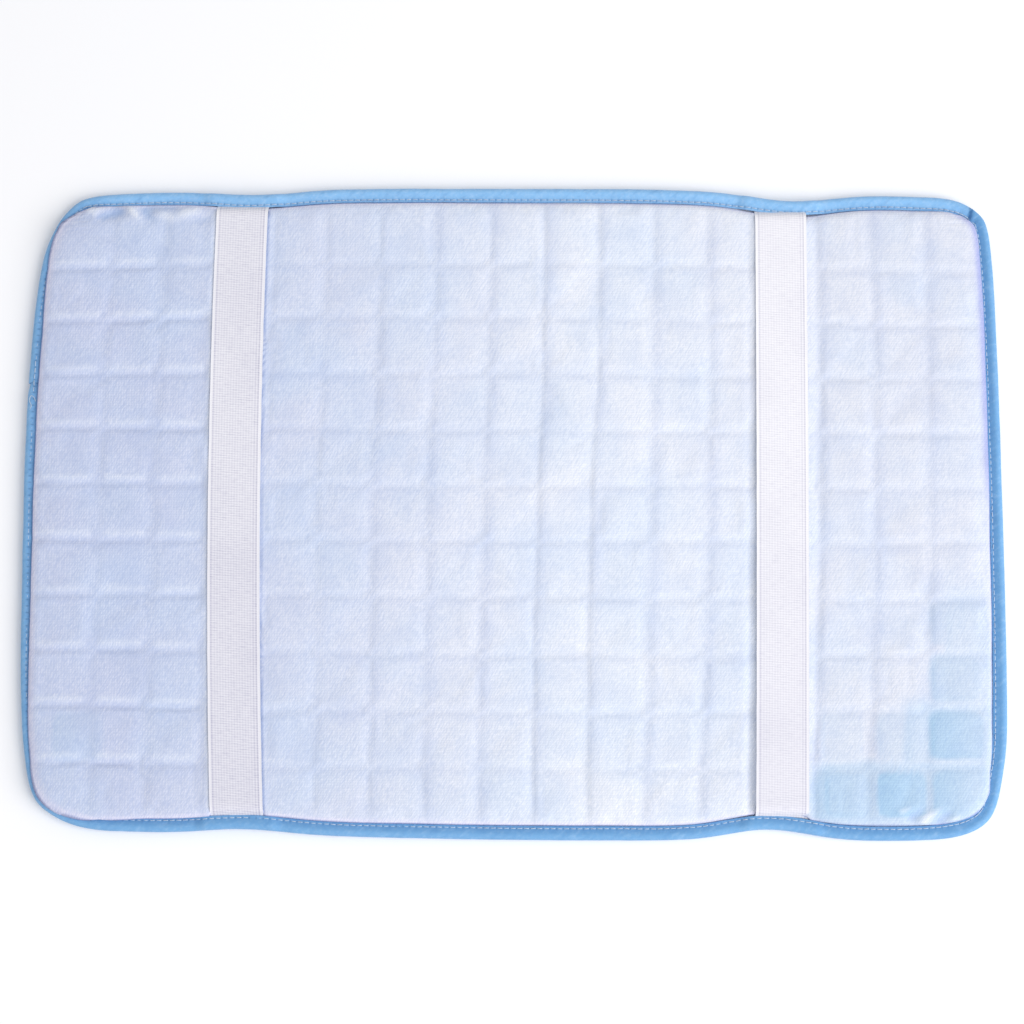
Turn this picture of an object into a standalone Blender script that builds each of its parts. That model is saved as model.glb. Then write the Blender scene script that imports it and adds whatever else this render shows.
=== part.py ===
"""Gel cooling mat with two elastic straps, lying on its cool front, with its back up.

Metres, +Z up. X runs along the mat and Y across it, from the near long edge to the far one.
The origin is under the middle of the mat, on the surface that it lies on.
"""

import math

import bmesh
import bpy
from mathutils import Vector
from mathutils.geometry import interpolate_bezier

# Overall sizes
MAT_LENGTH = 0.4488
MAT_WIDTH = 0.3028
LAYER_GAP = 0.0003

# The grid of cells
COLUMNS = 17
ROWS = 11
END_ALLOWANCE = 0.0085
SIDE_ALLOWANCE = 0.0117
COLUMN_PITCH = (MAT_LENGTH - 2 * END_ALLOWANCE) / COLUMNS
ROW_PITCH = (MAT_WIDTH - 2 * SIDE_ALLOWANCE) / ROWS

# Cloth, film and gel
CLOTH_THICKNESS = 0.0006
FILM_THICKNESS = 0.0003
GEL_WEB_THICKNESS = 0.0006
GEL_CELL_THICKNESS = 0.0049
ROW_WELD_WIDTH = 0.0024
FILM_FLANK_RUN = 0.004

# The back cover's quilted form
CHANNEL_DEPTH = 0.0011
COVER_FLANK_RUN = 0.005
SHOULDER_DROP = 0.0007
SHOULDER_RUN = 0.0034
FOLD_COLUMN_LINES = (9, 10)
FOLD_RISE_SHARE = 0.7

# Binding tape
TAPE_THICKNESS = 0.0006
LIP_WIDTH = 0.0064
LIP_CLEARANCE_BELOW = 0.0008
TAPE_EDGE_ROUNDING = 0.0012

# Insets from the mat's outer edge, each worked out from what it has to clear
RIM_CLEARANCE = 0.0024
COVER_CLEARS_LIP = 0.0012
FRONT_CLEARS_LIP = 0.0008
FRONT_FLANK_RUN = 0.0022
FILM_CLEARS_COVER = 0.0014
GEL_CLEARS_FILM = 0.001
RIB_CLEARS_FILM = 0.0015
RIM_INSET = TAPE_THICKNESS + RIM_CLEARANCE
RIM_FOOT_INSET = LIP_WIDTH + COVER_CLEARS_LIP
FILM_FOOT_INSET = RIM_FOOT_INSET + FILM_CLEARS_COVER
FRONT_FOOT_INSET = LIP_WIDTH + FRONT_CLEARS_LIP
FRONT_FLAT_INSET = FRONT_FOOT_INSET + FRONT_FLANK_RUN
GEL_INSET = FILM_FOOT_INSET + GEL_CLEARS_FILM
RIB_INSET = FILM_FOOT_INSET + RIB_CLEARS_FILM
SHOULDER_REACH = RIM_FOOT_INSET + COVER_FLANK_RUN + SHOULDER_RUN

# Sewing thread
THREAD_DIAMETER = 0.0003
THREAD_FROM_LIP_EDGE = 0.0015
THREAD_INSET = LIP_WIDTH - THREAD_FROM_LIP_EDGE

# Elastic straps
STRAP_WIDTH = 0.0237
STRAP_THICKNESS = 0.001
STRAP_CLEARS_LIP = 0.0005
STRAP_RISE_RUN = 0.0045
STRAP_SHOULDER_CLEARANCE = 0.0002
STRAP_SEGMENTS_ACROSS = 4
STRAP_SEGMENTS_ALONG = 8
LIP_LIFT_RUN = 0.006
PINCH_SPREAD_SHARE = 0.985
PINCH_SPREAD = COLUMN_PITCH * PINCH_SPREAD_SHARE
STRAP_SPAN_INSET = LIP_WIDTH + STRAP_CLEARS_LIP
STRAP_SHOULDER_INSET = STRAP_SPAN_INSET + STRAP_RISE_RUN

# Centre of each strap at the near edge, the middle and the far edge, as shares of half the length
STRAP_CENTRE_SHARES = {
    "left_strap": (-0.550, -0.567, -0.558),
    "right_strap": (0.537, 0.548, 0.554),
}

# How far the elastic draws each long edge in: strap, side (-1 near, 1 far), offset along X, depth
EDGE_PINCHES = (
    ("left_strap", -1, 0.004, 0.0023),
    ("left_strap", 1, 0.006, 0.0026),
    ("right_strap", -1, -0.006, 0.0050),
    ("right_strap", 1, 0.005, 0.0041),
)

# The slack outline, counter-clockwise from the right end, as shares of half the length and half the width
OUTLINE_SHARES = (
    (1.000, -0.010),
    (0.997, 0.560),
    (0.992, 0.771),
    (0.981, 0.890),
    (0.954, 0.946),
    (0.909, 0.979),
    (0.847, 0.984),
    (0.557, 0.989),
    (0.267, 0.997),
    (0.000, 0.999),
    (-0.267, 0.999),
    (-0.557, 0.994),
    (-0.824, 0.984),
    (-0.891, 0.979),
    (-0.922, 0.946),
    (-0.949, 0.882),
    (-0.972, 0.771),
    (-0.989, 0.552),
    (-0.998, 0.198),
    (-0.997, -0.198),
    (-0.993, -0.548),
    (-0.980, -0.760),
    (-0.960, -0.872),
    (-0.920, -0.926),
    (-0.856, -0.962),
    (-0.757, -0.973),
    (-0.557, -0.980),
    (-0.267, -0.990),
    (0.000, -0.997),
    (0.267, -0.999),
    (0.557, -1.000),
    (0.824, -0.998),
    (0.909, -0.980),
    (0.958, -0.931),
    (0.983, -0.819),
    (0.996, -0.667),
)
HANDLE_SHARE = 1 / 3
STATIONS_PER_SPAN = 20
OUTLINE_TOLERANCE = 0.00022
LIFT_TOLERANCE = LAYER_GAP / 4
SAME_PLACE = 0.00001
SHARP_ANGLE = math.radians(35)

# Heights of the layers over the middle of the mat
FRONT_COVER_TOP = CLOTH_THICKNESS
FRONT_FILM_TOP = FRONT_COVER_TOP + LAYER_GAP + FILM_THICKNESS
GEL_BOTTOM = FRONT_FILM_TOP + LAYER_GAP
GEL_WEB_TOP = GEL_BOTTOM + GEL_WEB_THICKNESS
GEL_CELL_TOP = GEL_BOTTOM + GEL_CELL_THICKNESS
FILM_WELD_TOP = GEL_WEB_TOP + LAYER_GAP + FILM_THICKNESS
FILM_CELL_TOP = GEL_CELL_TOP + LAYER_GAP + FILM_THICKNESS
COVER_UNDERSIDE = FILM_CELL_TOP + LAYER_GAP
COVER_CHANNEL_TOP = COVER_UNDERSIDE + CLOTH_THICKNESS
COVER_CELL_TOP = COVER_CHANNEL_TOP + CHANNEL_DEPTH

# Heights of the same layers where the binding holds them, each the top of its layer
LOWER_LIP_TOP = LIP_CLEARANCE_BELOW + TAPE_THICKNESS
FRONT_COVER_RIM = LOWER_LIP_TOP + LAYER_GAP + CLOTH_THICKNESS
FRONT_FILM_RIM = FRONT_COVER_RIM + LAYER_GAP + FILM_THICKNESS
BACK_FILM_RIM = FRONT_FILM_RIM + LAYER_GAP + FILM_THICKNESS
BACK_COVER_RIM = BACK_FILM_RIM + LAYER_GAP + CLOTH_THICKNESS
UPPER_LIP_TOP = BACK_COVER_RIM + LAYER_GAP + TAPE_THICKNESS

# Finishes: linear colour, roughness
FINISHES = {
    "back_cloth": ((0.76, 0.83, 0.95, 1.0), 0.85),
    "front_cloth": ((0.50, 0.68, 0.90, 1.0), 0.60),
    "binding_tape": ((0.22, 0.46, 0.80, 1.0), 0.80),
    "elastic": ((0.86, 0.86, 0.90, 1.0), 0.90),
    "sewing_thread": ((0.70, 0.80, 0.90, 1.0), 0.70),
    "clear_film": ((0.80, 0.88, 0.95, 1.0), 0.25),
    "blue_gel": ((0.35, 0.62, 0.90, 1.0), 0.20),
}


def start_scene():
    """Empties the scene, and gives it a collection for the mat and one for what shapes it."""
    for obj in list(bpy.data.objects):
        bpy.data.objects.remove(obj, do_unlink=True)
    collections = []
    for name in ("gel_cooling_mat", "shaping_helpers"):
        collection = bpy.data.collections.new(name)
        bpy.context.scene.collection.children.link(collection)
        collections.append(collection)
    return collections


def make_finishes():
    finishes = {}
    for name, (colour, roughness) in FINISHES.items():
        material = bpy.data.materials.new(name)
        material.use_nodes = True
        shader = material.node_tree.nodes["Principled BSDF"]
        shader.inputs["Base Color"].default_value = colour
        shader.inputs["Roughness"].default_value = roughness
        shader.inputs["Metallic"].default_value = 0.0
        finishes[name] = material
    return finishes


def strap_centre(strap, across):
    """X of a strap's centre line, at a place across the mat from -1, the near edge, to 1, the far one."""
    near, middle, far = STRAP_CENTRE_SHARES[strap]
    slant = (far - near) / 2
    bow = (far + near) / 2 - middle
    return (middle + slant * across + bow * across**2) * MAT_LENGTH / 2


def pinch_depth(place):
    """How far the elastics draw the edge in at this place on it."""
    depth = 0.0
    for strap, side, offset, most in EDGE_PINCHES:
        if place.y * side > 0:
            away = (place.x - strap_centre(strap, side) - offset) / PINCH_SPREAD
            depth += most * math.exp(-(away**2))
    return depth


def slack_outline():
    """The outline before the straps draw it in, as a smooth closed loop of places."""
    knots = [Vector((x * MAT_LENGTH / 2, y * MAT_WIDTH / 2, 0)) for x, y in OUTLINE_SHARES]
    count = len(knots)
    ways = [(knots[(i + 1) % count] - knots[i - 1]).normalized() for i in range(count)]
    places = []
    for i in range(count):
        start, stop = knots[i], knots[(i + 1) % count]
        reach = (stop - start).length * HANDLE_SHARE
        leave, arrive = start + ways[i] * reach, stop - ways[(i + 1) % count] * reach
        places += interpolate_bezier(start, leave, arrive, stop, STATIONS_PER_SPAN + 1)[:-1]
    return places


def make_outline():
    """(place, inward direction) at every station round the mat's outer edge, centred on the origin."""
    places = slack_outline()
    for place in places:
        place.y -= math.copysign(pinch_depth(place), place.y)
    low = Vector((min(p.x for p in places), min(p.y for p in places), 0))
    high = Vector((max(p.x for p in places), max(p.y for p in places), 0))
    size = high - low
    centred = [p - (low + high) / 2 for p in places]
    fitted = [Vector((p.x * MAT_LENGTH / size.x, p.y * MAT_WIDTH / size.y, 0)) for p in centred]
    outline = []
    for i, place in enumerate(fitted):
        along = (fitted[(i + 1) % len(fitted)] - fitted[i - 1]).normalized()
        outline.append((place, Vector((-along.y, along.x, 0))))
    return outline


OUTLINE = make_outline()


def nearest_station(place):
    flat = Vector((place.x, place.y, 0))
    return min(range(len(OUTLINE)), key=lambda i: (OUTLINE[i][0] - flat).length)


def station_spacing(station):
    place, before = OUTLINE[station][0], OUTLINE[station - 1][0]
    after = OUTLINE[(station + 1) % len(OUTLINE)][0]
    return max((place - before).length, (after - place).length)


def lip_lift(station):
    """How far the upper lip stands up at a station, to go over an elastic that is sewn in under it.

    It stands at its full height up to the first station beyond the elastic's edge, so that the
    straight run between two stations clears that edge too.
    """
    place = OUTLINE[station][0]
    side = math.copysign(1, place.y)
    away = min(abs(place.x - strap_centre(strap, side)) for strap in STRAP_CENTRE_SHARES)
    beyond = away - STRAP_WIDTH / 2 - LAYER_GAP - station_spacing(station)
    share = 1 - min(max(beyond / LIP_LIFT_RUN, 0), 1)
    return (STRAP_THICKNESS + LAYER_GAP) * share * share * (3 - 2 * share)


def stays_close(first, last):
    """Whether the straight run between two stations stays close to the outline and to its lip."""
    start, stop = OUTLINE[first][0], OUTLINE[last % len(OUTLINE)][0]
    start_lift, stop_lift = lip_lift(first), lip_lift(last % len(OUTLINE))
    for station in range(first + 1, last):
        share = (station - first) / (last - first)
        place = OUTLINE[station][0]
        off = (place - start.lerp(stop, share)).project(OUTLINE[station][1]).length
        rise = abs(lip_lift(station) - start_lift - (stop_lift - start_lift) * share)
        if off > OUTLINE_TOLERANCE or rise > LIFT_TOLERANCE:
            return False
    return True


def rim_stations():
    """The few stations that a smooth rim needs: each run is as long as the tolerance lets it be."""
    stations, station = [], 0
    while station < len(OUTLINE):
        stations.append(station)
        following = station + 1
        while following < len(OUTLINE) and stays_close(station, following + 1):
            following += 1
        station = following
    return stations


RIM_STATIONS = rim_stations()


def rim_place(station, inset, height):
    place, inward = OUTLINE[station]
    spot = place + inward * inset
    return Vector((spot.x, spot.y, height))


def new_sheet():
    sheet = bmesh.new()
    sheet.verts.layers.int.new("station")
    return sheet


def lay(sheet, verts, inset, height):
    """Puts verts at this inset from the mat's edge, each at its own station."""
    station = sheet.verts.layers.int["station"]
    for vert in verts:
        vert.co = rim_place(vert[station], inset, height)


def grow(sheet, edges, inset, height):
    """Extends a loop of edges to a new loop at this inset and height, and returns its edges."""
    made = bmesh.ops.extrude_edge_only(sheet, edges=edges)["geom"]
    lay(sheet, [g for g in made if isinstance(g, bmesh.types.BMVert)], inset, height)
    return [g for g in made if isinstance(g, bmesh.types.BMEdge) and g.is_boundary]


def boundary(sheet):
    return [edge for edge in sheet.edges if edge.is_boundary]


def thicken(sheet, thickness):
    """Closes an open sheet with a copy of itself, this far under it."""
    made = bmesh.ops.extrude_face_region(sheet, geom=sheet.faces[:], use_keep_orig=True)["geom"]
    for vert in [g for g in made if isinstance(g, bmesh.types.BMVert)]:
        vert.co.z -= thickness


def thicken_to(sheet, floor):
    """Closes an open sheet with a flat copy of itself at the height of the floor."""
    made = bmesh.ops.extrude_face_region(sheet, geom=sheet.faces[:], use_keep_orig=True)["geom"]
    for vert in [g for g in made if isinstance(g, bmesh.types.BMVert)]:
        vert.co.z = floor


def place_object(name, data, finish, collection):
    obj = bpy.data.objects.new(name, data)
    data.materials.append(finish)
    collection.objects.link(obj)
    return obj


def finish_sheet(name, sheet, finish, collection, origin=Vector()):
    """Makes the closed sheet an object with this origin, its faces turned outwards."""
    bmesh.ops.recalc_face_normals(sheet, faces=sheet.faces[:])
    bmesh.ops.translate(sheet, verts=sheet.verts[:], vec=-origin)
    mesh = bpy.data.meshes.new(name)
    sheet.to_mesh(mesh)
    sheet.free()
    mesh.shade_smooth()
    mesh.set_sharp_from_angle(angle=SHARP_ANGLE)
    obj = place_object(name, mesh, finish, collection)
    obj.location = origin
    return obj


def rim_ring(sheet, inset, height, filled):
    """A loop of edges round the mat, filled with one flat face or not."""
    circle = bmesh.ops.create_circle(sheet, cap_ends=filled, segments=len(RIM_STATIONS), radius=1)
    station = sheet.verts.layers.int["station"]
    for vert, place in zip(circle["verts"], RIM_STATIONS):
        vert[station] = place
    lay(sheet, circle["verts"], inset, height)


def flat_layer(height, rim_height):
    """A flat sheet over the whole mat that rises at its edge into the binding."""
    sheet = new_sheet()
    rim_ring(sheet, FRONT_FLAT_INSET, height, filled=True)
    foot = grow(sheet, boundary(sheet), FRONT_FOOT_INSET, rim_height)
    grow(sheet, foot, RIM_INSET, rim_height)
    return sheet


def grid_line(vert):
    """(column line, row line) of a vertex of a grid that still has its unit size."""
    return round((vert.co.x + 1) / 2 * COLUMNS), round((vert.co.y + 1) / 2 * ROWS)


def column_line(line):
    return (line - COLUMNS / 2) * COLUMN_PITCH


def row_line(line):
    return (line - ROWS / 2) * ROW_PITCH


def is_outer(place, outer_line):
    """Whether a place along X or Y is on the grid's first or last line."""
    return abs(abs(place) - abs(outer_line)) < SAME_PLACE


def cell_grid(height, border_inset, border_height):
    """An open sheet with one face a cell, whose border is laid along the mat's edge."""
    sheet = new_sheet()
    bmesh.ops.create_grid(sheet, x_segments=COLUMNS, y_segments=ROWS, size=1)
    station = sheet.verts.layers.int["station"]
    for vert in sheet.verts:
        column, row = grid_line(vert)
        vert.co = Vector((column_line(column), row_line(row), height))
    for vert in [vert for vert in sheet.verts if vert.is_boundary]:
        line = vert.co.copy()
        vert[station] = nearest_station(line)
        lay(sheet, [vert], border_inset, border_height)
        at_end, at_side = is_outer(line.x, column_line(0)), is_outer(line.y, row_line(0))
        if at_end and not at_side:
            vert.co.y = line.y
        if at_side and not at_end:
            vert.co.x = line.x
    return sheet


def raise_cells(sheet, tops, flank_run, height):
    """Gives each of these faces a flat top at this height, with a flank all round it."""
    bmesh.ops.inset_individual(sheet, faces=tops, thickness=flank_run, use_even_offset=True)
    for face in tops:
        for vert in face.verts:
            vert.co.z = height


def make_front_cover(finishes, mat):
    sheet = flat_layer(FRONT_COVER_TOP, FRONT_COVER_RIM)
    thicken(sheet, CLOTH_THICKNESS)
    finish_sheet("front_cover", sheet, finishes["front_cloth"], mat)


def row_weld_ribs(finish, helpers):
    """The ridges of the welds between the rows, as boxes that reach into the front film."""
    ribs = bmesh.new()
    bottom = FRONT_FILM_TOP - FILM_THICKNESS / 2
    height = GEL_WEB_TOP - bottom
    for line in range(1, ROWS):
        ends = [Vector((column_line(column), row_line(line))) for column in (0, COLUMNS)]
        left, right = [rim_place(nearest_station(end), RIB_INSET, 0).x for end in ends]
        box = bmesh.ops.create_cube(ribs, size=1)["verts"]
        width = ROW_WELD_WIDTH - 2 * LAYER_GAP
        bmesh.ops.scale(ribs, verts=box, vec=(right - left, width, height))
        middle = Vector(((left + right) / 2, row_line(line), bottom + height / 2))
        bmesh.ops.translate(ribs, verts=box, vec=middle)
    helper = finish_sheet("row_weld_ribs", ribs, finish, helpers)
    helper.hide_render = True
    helper.display_type = "WIRE"
    return helper


def make_front_film(finishes, mat, helpers):
    sheet = flat_layer(FRONT_FILM_TOP, FRONT_FILM_RIM)
    thicken(sheet, FILM_THICKNESS)
    film = finish_sheet("gel_pack_front_film", sheet, finishes["clear_film"], mat)
    joined = film.modifiers.new("row_welds", "BOOLEAN")
    joined.operation = "UNION"
    joined.solver = "EXACT"
    joined.object = row_weld_ribs(finishes["clear_film"], helpers)


def make_gel_row(row, finishes, mat):
    """One row of gel cells, joined by the thin webs that the column welds leave."""
    sheet = cell_grid(GEL_WEB_TOP, GEL_INSET, GEL_WEB_TOP)
    middle = row_line(row + 1 / 2)
    half_pitch = ROW_PITCH / 2
    others = [f for f in sheet.faces if abs(f.calc_center_median().y - middle) > half_pitch]
    bmesh.ops.delete(sheet, geom=others, context="FACES")
    for vert in sheet.verts:
        side = math.copysign(1, vert.co.y - middle)
        line = row + (1 + side) / 2
        if 0 < line < ROWS:
            vert.co.y -= side * ROW_WELD_WIDTH / 2
    tops = sheet.faces[:]
    thicken_to(sheet, GEL_BOTTOM)
    raise_cells(sheet, tops, FILM_FLANK_RUN + LAYER_GAP, GEL_CELL_TOP)
    origin = Vector((0, middle, GEL_BOTTOM))
    finish_sheet(f"gel_row_{row + 1:02d}", sheet, finishes["blue_gel"], mat, origin)


def make_back_film(finishes, mat):
    sheet = cell_grid(FILM_WELD_TOP, FILM_FOOT_INSET, BACK_FILM_RIM)
    raise_cells(sheet, sheet.faces[:], FILM_FLANK_RUN, FILM_CELL_TOP)
    grow(sheet, boundary(sheet), RIM_INSET, BACK_FILM_RIM)
    thicken(sheet, FILM_THICKNESS)
    finish_sheet("gel_pack_back_film", sheet, finishes["clear_film"], mat)


def lower_shoulder(tops):
    """Rounds the quilt down at the mat's edge: the outer side of each outer cell stands lower."""
    for face in tops:
        for vert in face.verts:
            edge = OUTLINE[nearest_station(vert.co)][0]
            if (Vector((vert.co.x, vert.co.y, 0)) - edge).length < SHOULDER_REACH:
                vert.co.z = COVER_CELL_TOP - SHOULDER_DROP


def raise_fold_lines(sheet):
    """Where the mat was folded in its pack, two channels stand almost as high as the cells."""
    folds = [column_line(line) for line in FOLD_COLUMN_LINES]
    for vert in sheet.verts:
        on_fold = any(abs(vert.co.x - fold) < SAME_PLACE for fold in folds)
        if on_fold and not vert.is_boundary:
            vert.co.z += CHANNEL_DEPTH * FOLD_RISE_SHARE


def close_underside(sheet):
    """Closes the cover with a plain underside that clears the film."""
    rim = grow(sheet, boundary(sheet), RIM_INSET, BACK_COVER_RIM - CLOTH_THICKNESS)
    foot = grow(sheet, rim, RIM_FOOT_INSET, BACK_COVER_RIM - CLOTH_THICKNESS)
    flat = grow(sheet, foot, RIM_FOOT_INSET + COVER_FLANK_RUN - CLOTH_THICKNESS, COVER_UNDERSIDE)
    bmesh.ops.contextual_create(sheet, geom=flat)


def make_back_cover(finishes, mat):
    sheet = cell_grid(COVER_CHANNEL_TOP, RIM_FOOT_INSET, BACK_COVER_RIM)
    raise_fold_lines(sheet)
    tops = sheet.faces[:]
    raise_cells(sheet, tops, COVER_FLANK_RUN, COVER_CELL_TOP)
    lower_shoulder(tops)
    grow(sheet, boundary(sheet), RIM_INSET, BACK_COVER_RIM)
    close_underside(sheet)
    finish_sheet("back_cover", sheet, finishes["back_cloth"], mat)


def binding_section():
    """The tape's section as (inset, height, share of the lip's lift), round from the lower lip's edge."""
    low, high = LIP_CLEARANCE_BELOW, UPPER_LIP_TOP
    outer, inner = TAPE_EDGE_ROUNDING, TAPE_EDGE_ROUNDING + TAPE_THICKNESS / 2
    wall = TAPE_THICKNESS
    return (
        (LIP_WIDTH, low, 0),
        (outer, low, 0),
        (0, low + outer, 0),
        (0, high - outer, 1 / 2),
        (outer, high, 1),
        (LIP_WIDTH, high, 1),
        (LIP_WIDTH, high - wall, 1),
        (inner, high - wall, 1),
        (wall, high - inner, 1 / 2),
        (wall, low + inner, 0),
        (inner, low + wall, 0),
        (LIP_WIDTH, low + wall, 0),
    )


def lift(sheet, verts, share):
    station = sheet.verts.layers.int["station"]
    for vert in verts:
        vert.co.z += lip_lift(vert[station]) * share


def make_binding(finishes, mat):
    """The tape's section, carried round the mat from loop to loop and closed on itself."""
    sheet = new_sheet()
    section = binding_section()
    rim_ring(sheet, section[0][0], section[0][1], filled=False)
    first = sheet.edges[:]
    loop = first
    for inset, height, lift_share in section[1:]:
        before = set(sheet.verts)
        loop = grow(sheet, loop, inset, height)
        lift(sheet, [vert for vert in sheet.verts if vert not in before], lift_share)
    bmesh.ops.bridge_loops(sheet, edges=first + loop)
    finish_sheet("edge_binding", sheet, finishes["binding_tape"], mat)


def make_thread(name, height, lift_share, finishes, mat):
    """One thread of the lockstitch, as a closed run on the face of the binding."""
    curve = bpy.data.curves.new(name, "CURVE")
    curve.dimensions = "3D"
    curve.bevel_depth = THREAD_DIAMETER / 2
    curve.bevel_resolution = 0
    run = curve.splines.new("POLY")
    run.points.add(len(RIM_STATIONS) - 1)
    for point, station in zip(run.points, RIM_STATIONS):
        place = rim_place(station, THREAD_INSET, height + lip_lift(station) * lift_share)
        point.co = place.to_4d()
    run.use_cyclic_u = True
    place_object(name, curve, finishes["sewing_thread"], mat)


def make_threads(finishes, mat):
    over = UPPER_LIP_TOP + LAYER_GAP + THREAD_DIAMETER / 2
    under = LIP_CLEARANCE_BELOW - LAYER_GAP - THREAD_DIAMETER / 2
    make_thread("binding_needle_thread", over, 1, finishes, mat)
    make_thread("binding_bobbin_thread", under, 0, finishes, mat)


def strap_ends(strap, offset):
    """Y of the mat's near and far edges, this far beside a strap's centre line."""
    ends = []
    for side in (-1, 1):
        aim = Vector((strap_centre(strap, side) + offset, side * MAT_WIDTH / 2))
        ends.append(OUTLINE[nearest_station(aim)][0].y)
    return ends


def strap_x(strap, y, offset):
    return strap_centre(strap, y / (MAT_WIDTH / 2)) + offset


def make_strap_piece(name, strap, stops, finishes, mat):
    """A piece of the elastic. Each stop gives (share across the mat, inset from that edge, underside)."""
    sheet = bmesh.new()
    bmesh.ops.create_grid(sheet, x_segments=STRAP_SEGMENTS_ACROSS, y_segments=len(stops) - 1, size=1)
    for vert in sheet.verts:
        offset = vert.co.x * STRAP_WIDTH / 2
        share, inset, underside = stops[round((vert.co.y + 1) / 2 * (len(stops) - 1))]
        near, far = strap_ends(strap, offset)
        y = (near + inset) * (1 - share) + (far - inset) * share
        vert.co = Vector((strap_x(strap, y, offset), y, underside + STRAP_THICKNESS))
    origin = sum((vert.co for vert in sheet.verts), Vector()) / len(sheet.verts)
    thicken(sheet, STRAP_THICKNESS)
    finish_sheet(name, sheet, finishes["elastic"], mat, origin)


def span_stops():
    """The free stretch: up from one lip, flat over the cells and down to the other lip."""
    lip = BACK_COVER_RIM + LAYER_GAP
    over_cells = COVER_CELL_TOP + LAYER_GAP
    shoulder = over_cells - SHOULDER_DROP + STRAP_SHOULDER_CLEARANCE
    first_cell = (SIDE_ALLOWANCE + ROW_PITCH) / MAT_WIDTH
    near = [(0, STRAP_SPAN_INSET, lip), (0, STRAP_SHOULDER_INSET, shoulder)]
    steps = STRAP_SEGMENTS_ALONG
    flat = [(first_cell + (1 - 2 * first_cell) * i / steps, 0, over_cells) for i in range(steps + 1)]
    far = [(1, STRAP_SHOULDER_INSET, shoulder), (1, STRAP_SPAN_INSET, lip)]
    return near + flat + far


def make_strap(strap, finishes, mat):
    lip = BACK_COVER_RIM + LAYER_GAP
    sewn_edge = STRAP_SPAN_INSET - LAYER_GAP
    near_end = [(0, RIM_INSET, lip), (0, sewn_edge, lip)]
    far_end = [(1, sewn_edge, lip), (1, RIM_INSET, lip)]
    make_strap_piece(strap, strap, span_stops(), finishes, mat)
    make_strap_piece(f"{strap}_near_end", strap, near_end, finishes, mat)
    make_strap_piece(f"{strap}_far_end", strap, far_end, finishes, mat)


def main():
    mat, helpers = start_scene()
    finishes = make_finishes()
    make_front_cover(finishes, mat)
    make_front_film(finishes, mat, helpers)
    for row in range(ROWS):
        make_gel_row(row, finishes, mat)
    make_back_film(finishes, mat)
    make_back_cover(finishes, mat)
    make_binding(finishes, mat)
    make_threads(finishes, mat)
    for strap in STRAP_CENTRE_SHARES:
        make_strap(strap, finishes, mat)


main()
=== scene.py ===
"""Gel cooling mat as photographed: lying on its cool front, with its quilted back and two elastics up.

Metres, +Z up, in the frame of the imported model. X runs along the mat and Y across it.
"""

import math

import bmesh
import bpy
import numpy as np
from mathutils import Euler, Matrix, Vector, noise
from mathutils.geometry import interpolate_bezier


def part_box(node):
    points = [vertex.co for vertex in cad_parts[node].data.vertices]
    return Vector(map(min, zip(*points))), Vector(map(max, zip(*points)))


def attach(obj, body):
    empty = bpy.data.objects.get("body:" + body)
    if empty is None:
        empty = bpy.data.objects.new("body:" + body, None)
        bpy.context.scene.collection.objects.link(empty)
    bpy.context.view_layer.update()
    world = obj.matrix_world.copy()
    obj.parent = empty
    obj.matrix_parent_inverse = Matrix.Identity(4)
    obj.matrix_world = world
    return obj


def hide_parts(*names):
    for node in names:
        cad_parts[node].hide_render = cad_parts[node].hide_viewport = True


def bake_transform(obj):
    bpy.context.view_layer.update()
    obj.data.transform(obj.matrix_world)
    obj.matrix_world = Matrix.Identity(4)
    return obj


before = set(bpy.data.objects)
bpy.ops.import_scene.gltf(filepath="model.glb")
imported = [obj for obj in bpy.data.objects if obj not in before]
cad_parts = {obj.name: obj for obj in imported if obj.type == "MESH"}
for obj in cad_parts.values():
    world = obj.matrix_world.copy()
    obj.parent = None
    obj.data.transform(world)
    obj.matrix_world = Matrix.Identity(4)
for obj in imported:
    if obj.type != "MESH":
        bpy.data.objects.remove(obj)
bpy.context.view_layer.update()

MM = 0.001

# Sizes of the mat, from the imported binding
BINDING_LOW, BINDING_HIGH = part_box("edge_binding")
MAT_LENGTH = BINDING_HIGH.x - BINDING_LOW.x
MAT_WIDTH = BINDING_HIGH.y - BINDING_LOW.y
COLUMNS, ROWS = 17, 11
COLUMN_PITCH = (MAT_LENGTH - 17 * MM) / COLUMNS
ROW_PITCH = (MAT_WIDTH - 23.4 * MM) / ROWS

# Heights
CELL_TOP = 9.0 * MM
COVER_LIMIT = 9.15 * MM
RIM_HEIGHT = 4.1 * MM
STRAP_WIDTH = 23.7 * MM
LIP_LIFT = 1.3 * MM
STITCH_PITCH = 3.0 * MM
STITCH_RADIUS = 0.21 * MM
LOOSE_THREAD_RADIUS = 0.2 * MM
TAPE_THICKNESS = 0.5 * MM
BAND_THICKNESS = 0.62 * MM

# Centre of each strap at the near edge, the middle and the far edge, as shares of half the length
STRAP_CENTRE_SHARES = {
    "left_strap": (-0.550, -0.567, -0.558),
    "right_strap": (0.537, 0.548, 0.554),
}

# How far the elastic draws each long edge in: strap, side, offset along X, depth
EDGE_PINCHES = (
    ("left_strap", -1, 0.004, 0.0023),
    ("left_strap", 1, 0.006, 0.0026),
    ("right_strap", -1, -0.006, 0.0050),
    ("right_strap", 1, 0.005, 0.0041),
)

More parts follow.
